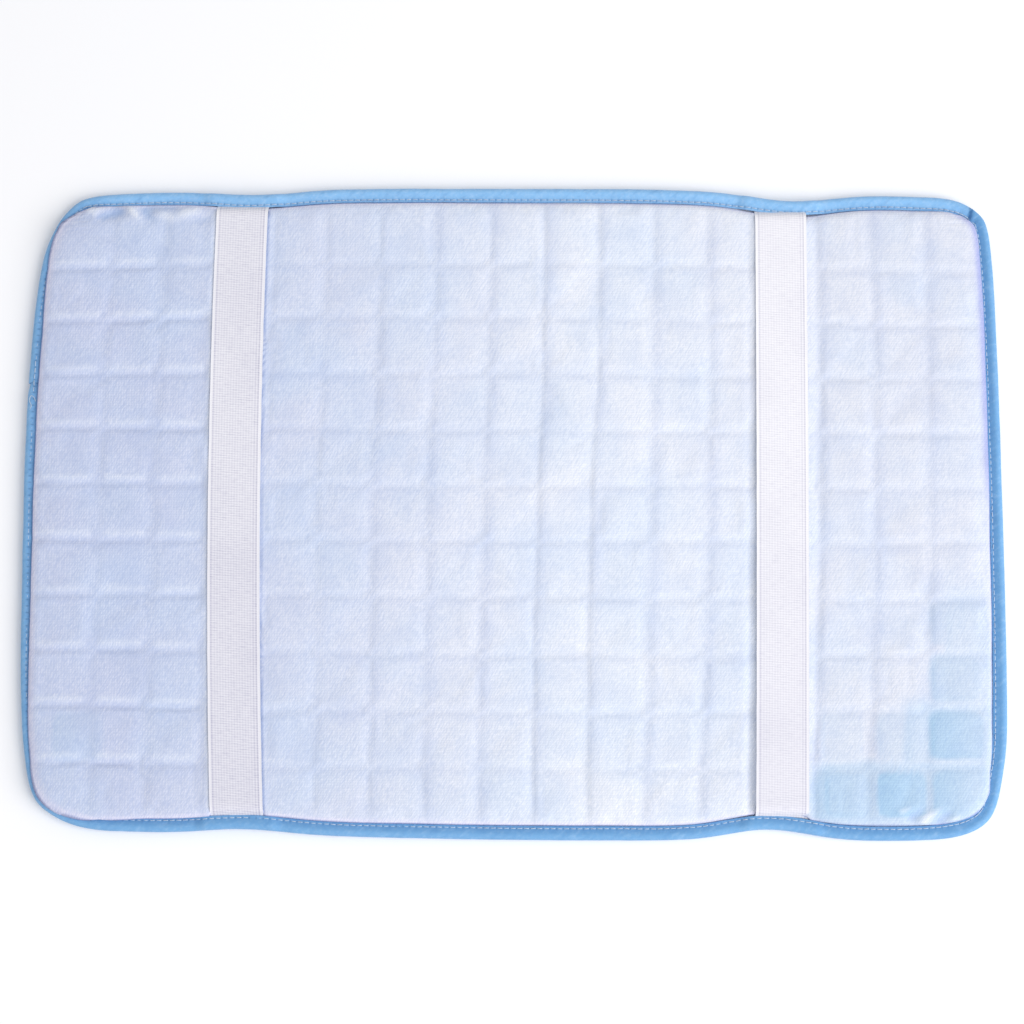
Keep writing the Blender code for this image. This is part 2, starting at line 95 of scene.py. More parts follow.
# The slack outline, counter-clockwise from the right end, as shares of half the length and half the width
OUTLINE_SHARES = (
    (1.000, -0.010), (0.997, 0.560), (0.992, 0.771), (0.981, 0.890), (0.952, 0.938), (0.909, 0.965),
    (0.847, 0.973), (0.620, 0.983), (0.267, 0.997), (0.000, 0.999), (-0.267, 0.999), (-0.557, 0.994),
    (-0.824, 0.981), (-0.888, 0.966), (-0.917, 0.937), (-0.946, 0.878), (-0.972, 0.771), (-0.989, 0.552),
    (-0.998, 0.198), (-0.997, -0.198), (-0.993, -0.548), (-0.980, -0.760), (-0.960, -0.872), (-0.920, -0.926),
    (-0.856, -0.962), (-0.757, -0.973), (-0.557, -0.980), (-0.267, -0.990), (0.000, -0.997), (0.267, -0.999),
    (0.557, -1.000), (0.824, -0.998), (0.909, -0.980), (0.958, -0.931), (0.983, -0.819), (0.996, -0.667),
)
STATIONS_PER_SPAN = 20
CORNER_KNOTS = (33, 4, 14, 23)


def smooth(share):
    """Turns a straight change from 0 to 1 into one that starts and ends gently."""
    share = np.clip(share, 0, 1)
    return share * share * (3 - 2 * share)


def bump(away, width):
    """A soft bump, 1 in its middle, that has faded at about twice its width."""
    return np.exp(-((away / width) ** 2))


def wander(x, y, size, seed=0.0):
    """Smooth random values from about -1 to 1 that change over this size."""
    return np.array([noise.noise(Vector((a / size + seed, b / size - seed, seed))) for a, b in zip(x, y)])


def curve_through(knots, steps):
    """Places on a smooth open curve through the knots."""
    ends = [knots[0], *knots, knots[-1]]
    places = [knots[0]]
    for before, start, stop, after in zip(ends, ends[1:], ends[2:], ends[3:]):
        leave, arrive = start + (stop - before) / 6, stop - (after - start) / 6
        places += interpolate_bezier(start, leave, arrive, stop, steps + 1)[1:]
    return np.array([list(place) for place in places])


def strap_centre(strap, across):
    """X of a strap's centre line, at a place across the mat from -1, the near edge, to 1, the far one."""
    near, middle, far = STRAP_CENTRE_SHARES[strap]
    slant = (far - near) / 2
    bow = (far + near) / 2 - middle
    return (middle + slant * across + bow * across**2) * MAT_LENGTH / 2


def pinch_depth(place):
    """How far the elastics draw the edge in at this place on it."""
    depth = 0.0
    for strap, side, offset, most in EDGE_PINCHES:
        if place.y * side > 0:
            away = (place.x - strap_centre(strap, side) - offset) / (COLUMN_PITCH * 0.985)
            depth += most * math.exp(-(away**2))
    return depth


def make_outline():
    """Rows of x, y, inward x and inward y round the mat's outer edge, closed by the first one."""
    knots = [Vector((x * MAT_LENGTH / 2, y * MAT_WIDTH / 2, 0)) for x, y in OUTLINE_SHARES]
    count = len(knots)
    ways = [(knots[(i + 1) % count] - knots[i - 1]).normalized() for i in range(count)]
    places = []
    for i in range(count):
        start, stop = knots[i], knots[(i + 1) % count]
        reach = (stop - start).length / 3
        leave, arrive = start + ways[i] * reach, stop - ways[(i + 1) % count] * reach
        places += interpolate_bezier(start, leave, arrive, stop, STATIONS_PER_SPAN + 1)[:-1]
    for place in places:
        place.y -= math.copysign(pinch_depth(place), place.y)
    spots = np.array([(p.x, p.y) for p in places])
    low, high = spots.min(axis=0), spots.max(axis=0)
    spots = (spots - (low + high) / 2) * (MAT_LENGTH, MAT_WIDTH) / (high - low)
    along = np.roll(spots, -1, axis=0) - np.roll(spots, 1, axis=0)
    along /= np.linalg.norm(along, axis=1)[:, None]
    rows = np.column_stack((spots, -along[:, 1], along[:, 0]))
    return np.vstack((rows, rows[:1]))


def runs_along(places):
    """How far along its line each place is, from 0 at the first."""
    return np.concatenate(([0], np.cumsum(np.linalg.norm(np.diff(places, axis=0), axis=1))))


OUTLINE = make_outline()
OUTLINE_RUNS = runs_along(OUTLINE[:, :2])
WAY_ROUND = OUTLINE_RUNS[-1]
STITCH_COUNT = round(WAY_ROUND / STITCH_PITCH)
CORNER_RUNS = [OUTLINE_RUNS[knot * STATIONS_PER_SPAN] for knot in CORNER_KNOTS]
CORNER_RUNS = [CORNER_RUNS[0] - WAY_ROUND, *CORNER_RUNS[1:], CORNER_RUNS[0]]


def rim_at(run):
    """Rows of x, y, inward x and inward y at these runs along the outline, from its right end on."""
    return np.column_stack([np.interp(run % WAY_ROUND, OUTLINE_RUNS, OUTLINE[:, k]) for k in range(4)])


def run_near(x, y):
    """The run along the outline that is nearest to a place."""
    return OUTLINE_RUNS[np.argmin((OUTLINE[:-1, 0] - x) ** 2 + (OUTLINE[:-1, 1] - y) ** 2)]


def at_knots(run, values):
    """Values given as (outline knot, value), spread smoothly along the outline."""
    knots, amounts = zip(*values, (len(OUTLINE_SHARES), values[0][1]))
    runs = [OUTLINE_RUNS[round(knot * STATIONS_PER_SPAN)] for knot in knots]
    return np.interp(run % WAY_ROUND, runs, amounts)


def lip_lift(run):
    """How far the upper lip stands up to go over an elastic that is sewn in under it."""
    rim = rim_at(run)
    away = np.full(len(rim), 1.0)
    for strap in STRAP_CENTRE_SHARES:
        centre = [strap_centre(strap, math.copysign(1, y)) for y in rim[:, 1]]
        away = np.minimum(away, np.abs(rim[:, 0] - centre))
    away = np.where(np.abs(rim[:, 1]) < MAT_WIDTH / 4, 1.0, away)
    return LIP_LIFT * smooth(1 - (away - STRAP_WIDTH / 2 - 2 * MM) / (6 * MM))


def linear(hex_colour):
    """A screen colour as the linear values that a shader takes."""
    parts = [int(hex_colour[i:i + 2], 16) / 255 for i in (1, 3, 5)]
    return (*[p / 12.92 if p <= 0.04045 else ((p + 0.055) / 1.055) ** 2.4 for p in parts], 1.0)


def add_node(tree, kind, settings, output=0):
    """Adds a node, sets its properties, sets or joins its inputs, and gives one of its outputs."""
    made = tree.nodes.new(kind)
    for name, value in settings.items():
        if isinstance(value, bpy.types.NodeSocket):
            tree.links.new(value, made.inputs[name])
        elif isinstance(name, str) and hasattr(made, name):
            setattr(made, name, value)
        else:
            made.inputs[name].default_value = value
    return made.outputs[output]


def start_material(name, settings):
    """A material with a plain shader that takes these settings, its node tree, and that shader."""
    material = bpy.data.materials.new(name)
    material.use_nodes = True
    shader = material.node_tree.nodes["Principled BSDF"]
    for key, value in settings.items():
        shader.inputs[key].default_value = value
    return material, material.node_tree, shader


def mesh_object(name, sheet, material):
    """Makes an object of a bmesh, smooth shaded, at the origin."""
    mesh = bpy.data.meshes.new(name)
    sheet.to_mesh(mesh)
    sheet.free()
    mesh.shade_smooth()
    mesh.materials.append(material)
    obj = bpy.data.objects.new(name, mesh)
    bpy.context.scene.collection.objects.link(obj)
    return obj


def places_of(mesh):
    """The places of a mesh's vertices, a row each."""
    places = np.empty(len(mesh.vertices) * 3)
    mesh.vertices.foreach_get("co", places)
    return places.reshape(-1, 3)


def put_places(mesh, places):
    """Moves a mesh's vertices to these places."""
    mesh.vertices.foreach_set("co", np.ascontiguousarray(places, dtype=np.float32).ravel())
    mesh.update()


def add_values(mesh, name, values):
    """Keeps a value for each vertex, which a material can read."""
    mesh.attributes.new(name, "FLOAT", "POINT").data.foreach_set("value", values.astype(np.float32))


def apply_modifiers(obj):
    """Fixes the object's modifiers in its mesh."""
    graph = bpy.context.evaluated_depsgraph_get()
    mesh = bpy.data.meshes.new_from_object(obj.evaluated_get(graph), depsgraph=graph)
    obj.modifiers.clear()
    obj.data = mesh


def grid_object(name, columns, rows, material):
    """A flat grid from -1 to 1, with this many faces each way, to be shaped by moving its vertices."""
    sheet = bmesh.new()
    bmesh.ops.create_grid(sheet, x_segments=columns, y_segments=rows, size=1)
    return mesh_object(name, sheet, material)


def spread_in_outline(obj):
    """Places of a grid's vertices when it fills the mat's outline, their inset, run and inward direction."""
    across, along = places_of(obj.data)[:, :2].T
    ring = np.maximum(np.maximum(np.abs(across), np.abs(along)), 1e-9)
    a, b = across / ring, along / ring
    edge = 1 - 1e-6
    side = np.select([a >= edge, b >= edge, a <= -edge], [0, 1, 2], 3)
    share = np.select([side == 0, side == 1, side == 2], [1 + b, 1 - a, 1 - b], 1 + a) / 2
    corners = np.array(CORNER_RUNS)
    run = corners[side] + share * (corners[side + 1] - corners[side])
    rim = rim_at(run)
    flat = rim[:, :2] * ring[:, None]
    inset = ((flat - rim[:, :2]) * rim[:, 2:]).sum(axis=1)
    return flat, inset, run, rim[:, 2:]


# The back cover's profile from its rim to the flat: inset in millimetres, rise as a share, and how far it
# moves inwards with the overhang
COVER_KNOTS = (
    (3.0, 0.0, 0.0),
    (5.0, 0.0, 0.0),
    (6.5, 0.05, 0.0),
    (7.0, 0.22, 0.0),
    (6.8, 0.42, -0.85),
    (7.4, 0.64, -1.0),
    (9.4, 0.84, -0.75),
    (12.6, 0.955, -0.3),
    (17.0, 1.0, 0.0),
)
COVER_REACH = 17 * MM
COVER_PROFILE = curve_through([Vector(knot) for knot in COVER_KNOTS], 8)
COVER_STEPS = runs_along(COVER_PROFILE[:, :2] * (1, (CELL_TOP - RIM_HEIGHT) / MM))

# How far the back cover bulges out over the tape, in millimetres, round the outline
OVERHANGS = (
    (0, 0.3), (1, 1.0), (3, 1.0), (4, 0.4), (5, -0.3), (9, -0.3), (11, 0.1), (12.6, 0.4), (13.4, 1.0),
    (14.2, 2.6), (14.8, 5.2), (15.3, 5.0), (16, 3.6), (17, 1.9), (18, 2.0), (19, 2.3), (20, 3.1), (21, 4.2),
    (22, 5.6), (23, 5.4), (24, 2.3), (25, 1.1), (27, 0.5), (31, 0.3), (32, 0.3), (33, 1.5), (33.5, 2.5),
    (34, 1.0), (35, -0.2),
)

# How much wider than usual the tape's upper lip is, in millimetres, and how dark the cloth beside it is
WIDER_LIPS = ((0, 0.0), (3, 0.0), (5, 0.7), (8, 0.7), (10, 0.6), (12, 0.0), (31, 0.0), (33, 0.5), (35, 0.5))
EDGE_SHADES = ((0, 0.3), (0.2, 0.9), (1, 1.0), (3, 1.0), (4, 0.6), (5, 0.0), (35, 0.0))

# How far the pressed lines lie from the even grid, in millimetres, most at the near right corner. Places
# along X are over the columns of numbers, and places across Y lead the rows.
COLUMN_CREEP_X = (-190, -90, 0, 38, 65, 100, 160, 195)
COLUMN_CREEP = (
    (-128, (-0.2, -1.1, -3.9, -5.2, -5.0, -6.0, -6.0, -4.6)),
    (-80, (-0.2, -0.6, -3.1, -4.3, -2.6, -3.0, -2.8, -2.7)),
    (0, (1.2, -1.5, -1.0, -3.0, -0.8, 0.5, 0.2, -0.7)),
    (70, (2.0, 1.0, 1.3, 1.2, 1.0, 1.5, 1.8, 0.0)),
    (125, (5.5, 2.2, 2.1, 2.0, 1.5, 1.3, 0.3, 0.5)),
)
ROW_CREEP_X = (-190, -100, -30, 50, 165, 200)
ROW_CREEP = (
    (-115, (-2.3, -5.0, -4.8, -6.5, -5.5, -4.8)),
    (0, (-2.3, -2.5, -3.5, -3.5, -5.5, -4.8)),
    (110, (-2.3, -0.5, -0.3, -0.6, -4.6, -4.6)),
)

# How deep the lines are pressed, in millimetres, along X
COLUMN_DEPTHS = (
    (-200, -120, -80, -30, -10, 65, 90, 140, 165, 200),
    (0.12, 0.11, 0.13, 0.15, 0.17, 0.17, 0.22, 0.55, 0.23, 0.28),
)
ROW_DEPTHS = ((-200, -140, -105, -30, 45, 170, 200), (0.80, 0.80, 0.24, 0.25, 0.33, 0.35, 0.29))
# These two lines of the grid keep a sharp crease, as from a fold
FOLDED_LINES = (9, 10)


def from_table(x, y, table_x, table):
    """Values of a small table of rows at places across Y, smoothly between them."""
    rows = np.array([np.interp(x, np.array(table_x) * MM, values) for _, values in table])
    places = np.array([place for place, _ in table]) * MM
    above = np.clip(np.searchsorted(places, y), 1, len(places) - 1)
    share = smooth((y - places[above - 1]) / (places[above] - places[above - 1]))
    each = np.arange(len(x))
    return (rows[above - 1, each] * (1 - share) + rows[above, each] * share) * MM


def line_away(place, pitch, count):
    """How far each place is from the nearest weld line, and that line's number."""
    share = place / pitch + count / 2
    line = np.clip(np.round(share), 1, count - 1)
    return (share - line) * pitch, line


def pressed_lines(x, y):
    """How far each place is from the nearest pressed column line and row line, and the column's number."""
    weld_x = x - from_table(x, y, COLUMN_CREEP_X, COLUMN_CREEP) + wander(x, y, 60 * MM, 3.1) * 0.6 * MM
    weld_x += wander(x, y, 19 * MM, 8.4) * 0.15 * MM
    weld_y = y - from_table(x, y, ROW_CREEP_X, ROW_CREEP) + wander(x, y, 55 * MM, 5.7) * 1.0 * MM
    weld_y += wander(x, y, 17 * MM, 1.9) * 0.4 * MM
    column_off, column = line_away(weld_x, COLUMN_PITCH, COLUMNS)
    row_off, _ = line_away(weld_y, ROW_PITCH, ROWS)
    return column_off, row_off, column


def relief(x, y):
    """How far the back cover lies under the cells' tops, from its pressed lines, cells and folds."""
    column_off, row_off, column = pressed_lines(x, y)
    column_depth = np.interp(x / MM, *COLUMN_DEPTHS) * (1 + 0.35 * wander(x, y, 24 * MM, 11.3))
    column_depth *= np.interp(y / MM, (-130, -60, 130), (1.45, 1.05, 0.9))
    row_depth = np.interp(x / MM, *ROW_DEPTHS) * (1 + 0.6 * wander(x, y, 24 * MM, 15.8))
    # The rows are pressed deepest near the near left corner
    row_depth *= 1 + 0.9 * bump(np.hypot(x + 172 * MM, y + 112 * MM), 34 * MM)
    # Each cell is a rounded square: 0 on the weld line and 1 in the cell's middle, each way
    to_column = (2 * np.abs(column_off) / COLUMN_PITCH).clip(0, 1)
    to_row = (2 * np.abs(row_off) / ROW_PITCH).clip(0, 1)
    edge_x, edge_y = 1 - to_column, 1 - to_row
    # A cell's left and far flanks are the steeper ones
    flank_x = np.where(column_off < 0, 0.44, 0.30)
    flank_y = np.where(row_off > 0, np.interp(x / MM, (-150, -100), (0.26, 0.33)), 0.17)
    power = 2.6
    wall_x, wall_y = (1 - to_column / flank_x).clip(0, 1), (1 - to_row / flank_y).clip(0, 1)
    wall = (wall_x**power + wall_y**power) ** (1 / power)
    pull_x, pull_y = edge_x**6 + 1e-6, edge_y**6 + 1e-6
    depth = (column_depth * pull_x + row_depth * pull_y) / (pull_x + pull_y)
    down = 0.75 * depth * smooth(wall.clip(0, 1))
    down += 0.55 * column_depth * edge_x**2 + 0.30 * row_depth * edge_y**2
    for line in FOLDED_LINES:
        strength = 0.26 * (1 + 0.35 * wander(x * 0, y, 40 * MM, line + 20.5)) * (column == line)
        left_of_it, right_of_it = np.exp(-np.abs(column_off) / (5.0 * MM)), bump(column_off, 0.9 * MM)
        down += strength * np.where(column_off < 0, left_of_it, right_of_it)
    slack = wander(x, y, 34 * MM, 21.0) * 0.10 + wander(x, y, 12 * MM, 27.0) * 0.05
    down = (down + slack) * (1 - 0.8 * strap_shade(x, y))
    return (down + strap_dent(x, y)) * MM


def lay_cover(obj):
    """Puts a grid's vertices on the back cover's surface, and returns the inset that each had when flat."""
    flat, inset, run, inward = spread_in_outline(obj)
    step = np.clip(inset / COVER_REACH, 0, 1) * COVER_STEPS[-1]
    profile = np.column_stack([np.interp(step, COVER_STEPS, COVER_PROFILE[:, k]) for k in range(3)])
    overhang = at_knots(run, OVERHANGS) + wander(run, run * 0, 30 * MM, 2.2) * 0.35
    # An elastic presses the shoulder in, so that it goes over it and in under the tape
    under_strap = smooth((0.8 * MM - past_strap(*flat.T)) / (1.8 * MM))
    overhang *= 1 - under_strap
    shoulder = smooth((profile[:, 1] - 0.1) / 0.2) * (1 - smooth((profile[:, 1] - 0.84) / 0.16))
    pressed = 0.6 * under_strap * shoulder
    lip = at_knots(run, WIDER_LIPS) * smooth(profile[:, 1] / 0.15) * (1 - smooth((profile[:, 1] - 0.6) / 0.4))
    new_inset = (profile[:, 0] + profile[:, 2] * overhang + lip + pressed) * MM
    moved = np.where(inset < COVER_REACH, new_inset - inset, 0)
    places = flat + inward * moved[:, None]
    top = CELL_TOP - relief(places[:, 0], places[:, 1])
    height = RIM_HEIGHT + (top - RIM_HEIGHT) * profile[:, 1]
    put_places(obj.data, np.column_stack((places, height)))
    return inset, run


def from_strap(strap, x, y):
    """How far each place is from an elastic's centre line, to the right of it."""
    return x - strap_centre(strap, y / (MAT_WIDTH / 2))


def past_strap(x, y):
    """How far each place is past the edge of the nearest elastic, and less than 0 under one."""
    return np.minimum(*[np.abs(from_strap(strap, x, y)) for strap in STRAP_CENTRE_SHARES]) - STRAP_WIDTH / 2


def strap_shade(x, y):
    """1 under an elastic and 0 away from it."""
    return smooth(1 - past_strap(x, y) / (3 * MM))


def strap_dent(x, y):
    """How far the cloth falls away left of the right elastic, in millimetres, most at the near end."""
    past = from_strap("right_strap", x, y) + STRAP_WIDTH / 2
    dent = np.interp(y / MM, (-130, 0, 130), (1.5, 0.8, 0.1)) * bump(past + 2.2 * MM, 2.4 * MM)
    return dent - 0.15 * bump(from_strap("left_strap", x, y) + STRAP_WIDTH / 2 + 1.5 * MM, 3 * MM)


# The cloth simulation: its grid, its frames, how much of its movement is kept, and the most of it
SIMULATED = (190, 128)
PUFF_FRAMES = 20
PUFF_SHARE = 0.4
PUFF_LIMIT = 0.3 * MM


def make_back_cover(material):
    """The quilted back: pressed into its grid, puffed a little by a simulation, and gathered at its edge."""
    obj = grid_object("simulated_cover", *SIMULATED, material)
    coarse = places_of(obj.data)[:, :2]
    inset, run = lay_cover(obj)
    laid = places_of(obj.data)
    moved = laid * 0
    column_off, row_off, _ = pressed_lines(laid[:, 0], laid[:, 1])
    held = obj.vertex_groups.new(name="held")
    tied = (inset < 9 * MM) | ((np.abs(column_off) < 2 * MM) & (np.abs(row_off) < 2 * MM))
    held.add([int(i) for i in np.flatnonzero(tied)], 1.0, "REPLACE")
    cloth = obj.modifiers.new("puff", "CLOTH")
    settings = cloth.settings
    settings.quality = 5
    settings.mass = 0.15
    settings.tension_stiffness = settings.compression_stiffness = 12
    settings.shear_stiffness = 4
    settings.bending_stiffness = 0.15
    settings.shrink_min = -0.012
    settings.vertex_group_mass = "held"
    settings.use_pressure = True
    settings.uniform_pressure_force = 0.5
    settings.effector_weights.gravity = 0
    cloth.collision_settings.use_collision = False
    cloth.point_cache.frame_start, cloth.point_cache.frame_end = 1, PUFF_FRAMES
    for step in range(1, PUFF_FRAMES + 1):
        bpy.context.scene.frame_set(step)
    apply_modifiers(obj)
    bpy.context.scene.frame_set(1)
    moved = np.clip((places_of(obj.data) - laid) * PUFF_SHARE, -PUFF_LIMIT, PUFF_LIMIT)
    bpy.data.objects.remove(obj)
    finer = grid_object("quilted_back_cover", 2 * SIMULATED[0], 2 * SIMULATED[1], material)
    places = places_of(finer.data)[:, :2]
    inset, run = lay_cover(finer)
    put_places(finer.data, places_of(finer.data) + between_places(moved, coarse, places))
    gather_cover(finer, inset, run)
    return finer


def between_places(values, coarse, fine):
    """Values at the places of a coarse grid, spread evenly to the places of a finer one."""
    order = np.lexsort((coarse[:, 0], coarse[:, 1]))
    table = values[order].reshape(SIMULATED[1] + 1, SIMULATED[0] + 1, 3)
    column = (fine[:, 0] + 1) / 2 * SIMULATED[0]
    row = (fine[:, 1] + 1) / 2 * SIMULATED[1]
    left = np.clip(np.floor(column + 1e-6).astype(int), 0, SIMULATED[0] - 1)
    low = np.clip(np.floor(row + 1e-6).astype(int), 0, SIMULATED[1] - 1)
    across, along = smooth(column - left)[:, None], smooth(row - low)[:, None]
    near = table[low, left] * (1 - across) + table[low, left + 1] * across
    far = table[low + 1, left] * (1 - across) + table[low + 1, left + 1] * across
    return near * (1 - along) + far * along


# Gathers of the back cover along its edge: from one outline knot to another, width and height in millimetres
GATHERS = (
    (13.0, 15.2, 4.6, 0.40),
    (11.3, 13.9, 24.0, 1.30),
    (24.0, 25.4, 5.0, 0.35),
    (31.0, 32.5, 13.0, 1.20),
    (33.6, 35.8, 6.5, 0.30),
    (3.0, 5.4, 6.0, 0.30),
    (16.0, 23.0, 7.5, 0.18),
)


def gather_cover(obj, inset, run):
    """Adds the small gathers at the cover's edge, and the values that its material reads."""
    mesh = obj.data
    places = places_of(mesh)
    x, y = places[:, 0], places[:, 1]
    near = bump(inset - 10 * MM, 5.5 * MM) * smooth((inset - 5 * MM) / (3 * MM))
    knot_runs = OUTLINE_RUNS[::STATIONS_PER_SPAN]
    knot = np.interp(run % WAY_ROUND, knot_runs, np.arange(len(knot_runs)))
    rise = wander(run, inset * 0.3, 7 * MM, 6.1) * 0.12 * MM
    pucker = run * 0
    for start, stop, width, height in GATHERS:
        share = smooth((knot - start) / 0.4) * smooth((stop - knot) / 0.4)
        phase = (run - 1.5 * inset) * 2 * math.pi / (width * MM) + wander(run, inset, 14 * MM, start) * 3.0
        uneven = 0.75 + 0.5 * wander(run, run * 0, 9 * MM, stop)
        rise += share * height * MM * (np.sin(phase) - 0.5) * uneven
        pucker += share * height * np.sin(phase) * uneven
    places[:, 2] += rise * near
    places[:, 2] = np.minimum(places[:, 2], COVER_LIMIT + (0.5 - 0.6 * strap_shade(x, y)) * MM)
    put_places(mesh, places)
    wide = at_knots(run, EDGE_SHADES)
    edge = inset - (5.6 + 0.2 * at_knots(run, OVERHANGS).clip(0)) * MM
    # The edge is paler, partly a painted highlight where the cloth rolls over to the tape and partly cloth
    # with no gel under it, but for the near right corner, where it lies on the gel
    hem = bump(edge - 1.3 * MM, 1.1 * MM) * (1 - wide) * (1 - 0.6 * np.abs(pucker).clip(0, 1))
    hem *= 1 - 0.8 * np.interp(x / MM, (110, 145), (0, 1)) * np.interp(y / MM, (-100, 20), (1, 0.4))
    add_values(mesh, "hem", hem)
    # The pucker value carries the gathers' hollows and crests, which the cloth shows as painted shade and
    # painted highlight
    add_values(mesh, "pucker", 0.5 + 0.5 * (pucker * near).clip(-1, 1))
    add_values(mesh, "edge_shade", np.maximum(bump(edge, 0.6 * MM), wide * bump(inset - 7.4 * MM, 2.0 * MM)))
    column_off, row_off, _ = pressed_lines(x, y)
    # Painted highlight on the near flank of each cell, over each row line, which faces the light; strongest
    # on the left
    painted_highlight = bump(row_off - 3.1 * MM, 1.5 * MM) * smooth((np.abs(column_off) - 1.5 * MM) / (3 * MM))
    painted_highlight *= np.interp(x / MM, (-150, -95, 150), (0.32, 0.07, 0.12))
    # Painted light beside the left elastic's left edge, which thins the shadow it casts there
    before = from_strap("left_strap", x, y) + STRAP_WIDTH / 2
    painted_highlight = np.maximum(painted_highlight, 0.5 * bump(before + 0.6 * MM, 0.9 * MM))
    add_values(mesh, "painted_highlight", painted_highlight * smooth((inset - 8 * MM) / (3 * MM)))
    # Painted shade in a thin line right of the left elastic, where it lies close on the cloth
    past = from_strap("left_strap", x, y) - STRAP_WIDTH / 2
    off_tape = smooth((MAT_WIDTH / 2 - 9 * MM - np.abs(y)) / (4 * MM))
    add_values(mesh, "shade_beside_strap", bump(past - 0.4 * MM, 0.6 * MM) * off_tape)
    add_values(mesh, "gel_shows", gel_showing(x, y))
    # Painted shade, bluish where the gel shows through: on the cells' flanks right of each column line and
    # below each row line, which face away from the light
    pressed = bump(column_off - 2.4 * MM, 3.4 * MM) * smooth((x + 130 * MM) / (120 * MM))
    pressed = np.maximum(pressed, 0.6 * bump(row_off + 1.6 * MM, 2.2 * MM))
    add_values(mesh, "pressed", (pressed * (0.65 + 0.5 * wander(x, y, 38 * MM, 31.0))).clip(0, 1))


# Where the blue gel shows through the back: centre and half sizes in millimetres, strength, and how much it
# fades to the right
GEL_PATCHES = (
    (150.2, -130.5, 12.0, 11.8, 0.72, 0.20),
    (174.6, -130.2, 12.0, 11.4, 0.98, 0.15),
    (200.5, -129.5, 14.5, 13.5, 0.84, 0.45),
    (199.8, -103.5, 14.0, 13.0, 0.84, 0.30),
    (200.0, -78.0, 12.5, 12.0, 0.42, 0.20),
    (199.0, -53.0, 11.0, 11.0, 0.20, 0.20),
    (174.0, -104.0, 11.0, 12.0, 0.26, 0.20),
    (148.0, -104.0, 10.0, 12.0, 0.15, 0.20),
    (118.0, -128.0, 8.0, 14.0, 0.22, 0.20),
    (176.0, -132.0, 43.0, 17.5, 0.52, 0.00),
    (200.0, -116.0, 26.0, 30.0, 0.36, 0.00),
    (206.0, -88.0, 11.0, 52.0, 0.24, 0.00),
    (-196.0, -104.0, 12.0, 12.0, 0.20, 0.20),
)


def gel_showing(x, y):
    """How much of the blue gel shows through the back cover, where the cloth lies close on it."""
    shows = np.zeros(len(x))
    for centre_x, centre_y, half_x, half_y, strength, fade in GEL_PATCHES:
        side_x = (x - centre_x * MM) / (half_x * MM)
        side_y = (y - centre_y * MM) / (half_y * MM)
        out = (np.abs(side_x) ** 6 + np.abs(side_y) ** 6) ** (1 / 6) + 0.05 * wander(x, y, 9 * MM, 33.0)
        # The blue is deepest at a cell's left and near sides, and fades to the others
        deeper = 1 - fade * smooth((side_x + 0.7) / 1.6)
        deeper += 0.34 * bump(side_x + 0.86, 0.13) + 0.12 * bump(side_y + 0.85, 0.14)
        soft = 0.20 + 0.5 * fade + 0.12 * smooth((side_y - 0.2) / 0.8)
        shows = np.maximum(shows, strength * deeper * smooth((1.10 - out) / soft))
    return shows.clip(0, 1)


def make_front_cover(material):
    """The cool front, on which the mat lies: drawn up a little along each weld, and up into the binding."""
    obj = grid_object("cool_front_cover", 260, 176, material)
    flat, inset, _, inward = spread_in_outline(obj)
    x, y = flat.T
    column_off, _ = line_away(x, COLUMN_PITCH, COLUMNS)
    row_off, _ = line_away(y, ROW_PITCH, ROWS)
    drawn = np.maximum(bump(column_off, 1.9 * MM), bump(row_off, 1.9 * MM))
    drawn *= 0.8 + 0.3 * wander(x, y, 30 * MM, 9.0)
    height = 0.12 * MM + 0.7 * MM * drawn.clip(0, 1)
    flank = smooth(1 - (inset - 6.2 * MM) / (4.2 * MM))
    add_values(obj.data, "welded", drawn.clip(0, 1) * (1 - flank))
    height = height * (1 - flank) + 2.0 * MM * flank
    inset_in = np.maximum(inset, 3 * MM) - inset
    put_places(obj.data, np.column_stack((flat + inward * inset_in[:, None], height)))
    return obj


# The tape's section from its upper inner edge round the mat's edge to its lower one: inset and height
TAPE_KNOTS = (
    (6.25, 4.75), (6.25, 4.95), (5.9, 5.05), (5.15, 4.82), (4.0, 5.16), (2.6, 5.50), (1.5, 5.25), (0.6, 4.40),
    (0.3, 3.1), (0.5, 1.9), (1.4, 1.05), (2.6, 0.8), (3.8, 0.95), (5.15, 1.15), (5.8, 0.98), (6.2, 1.05),
    (6.25, 1.2),
)
TAPE_PROFILE = curve_through([Vector((*knot, 0)) for knot in TAPE_KNOTS], 6)[:, :2] * MM
TAPE_STEPS = runs_along(TAPE_PROFILE)
TAPE_WAYS = np.gradient(TAPE_PROFILE, axis=0)
TAPE_WAYS /= np.linalg.norm(TAPE_WAYS, axis=1)[:, None]
# How far in from the mat's edge the seam runs, in millimetres, before a wider lip moves it in
SEAM_INSETS = ((0, 5.15), (12, 5.15), (15, 3.5), (17, 3.0), (22, 3.0), (24, 5.15), (35, 5.15))
# How deep the thread is drawn into the tape, in millimetres, round the outline
SEAM_SINKS = (
    (0, 0.05), (0.2, 0.15), (3, 0.16), (4, 0.10), (5, 0.0), (13, 0.0), (15, 0.25), (22, 0.25), (24, 0.10),
    (26.3, 0.14), (28, 0.0), (35, 0.0),
)
LAP_START = run_near(-218 * MM, 67 * MM)
LAP_LENGTH = 9 * MM
PLEAT_RUN = run_near(211.4 * MM, 140 * MM)
# How much darker the tape is than where the light falls on it best, round the outline
TAPE_SHADES = (
    (0, 1.0), (3, 1.0), (4, 0.6), (5, 0.25), (7, 0.1), (12, 0.15), (14, 0.50), (22, 0.62), (24, 0.85),
    (31, 0.92), (35, 1.0),
)


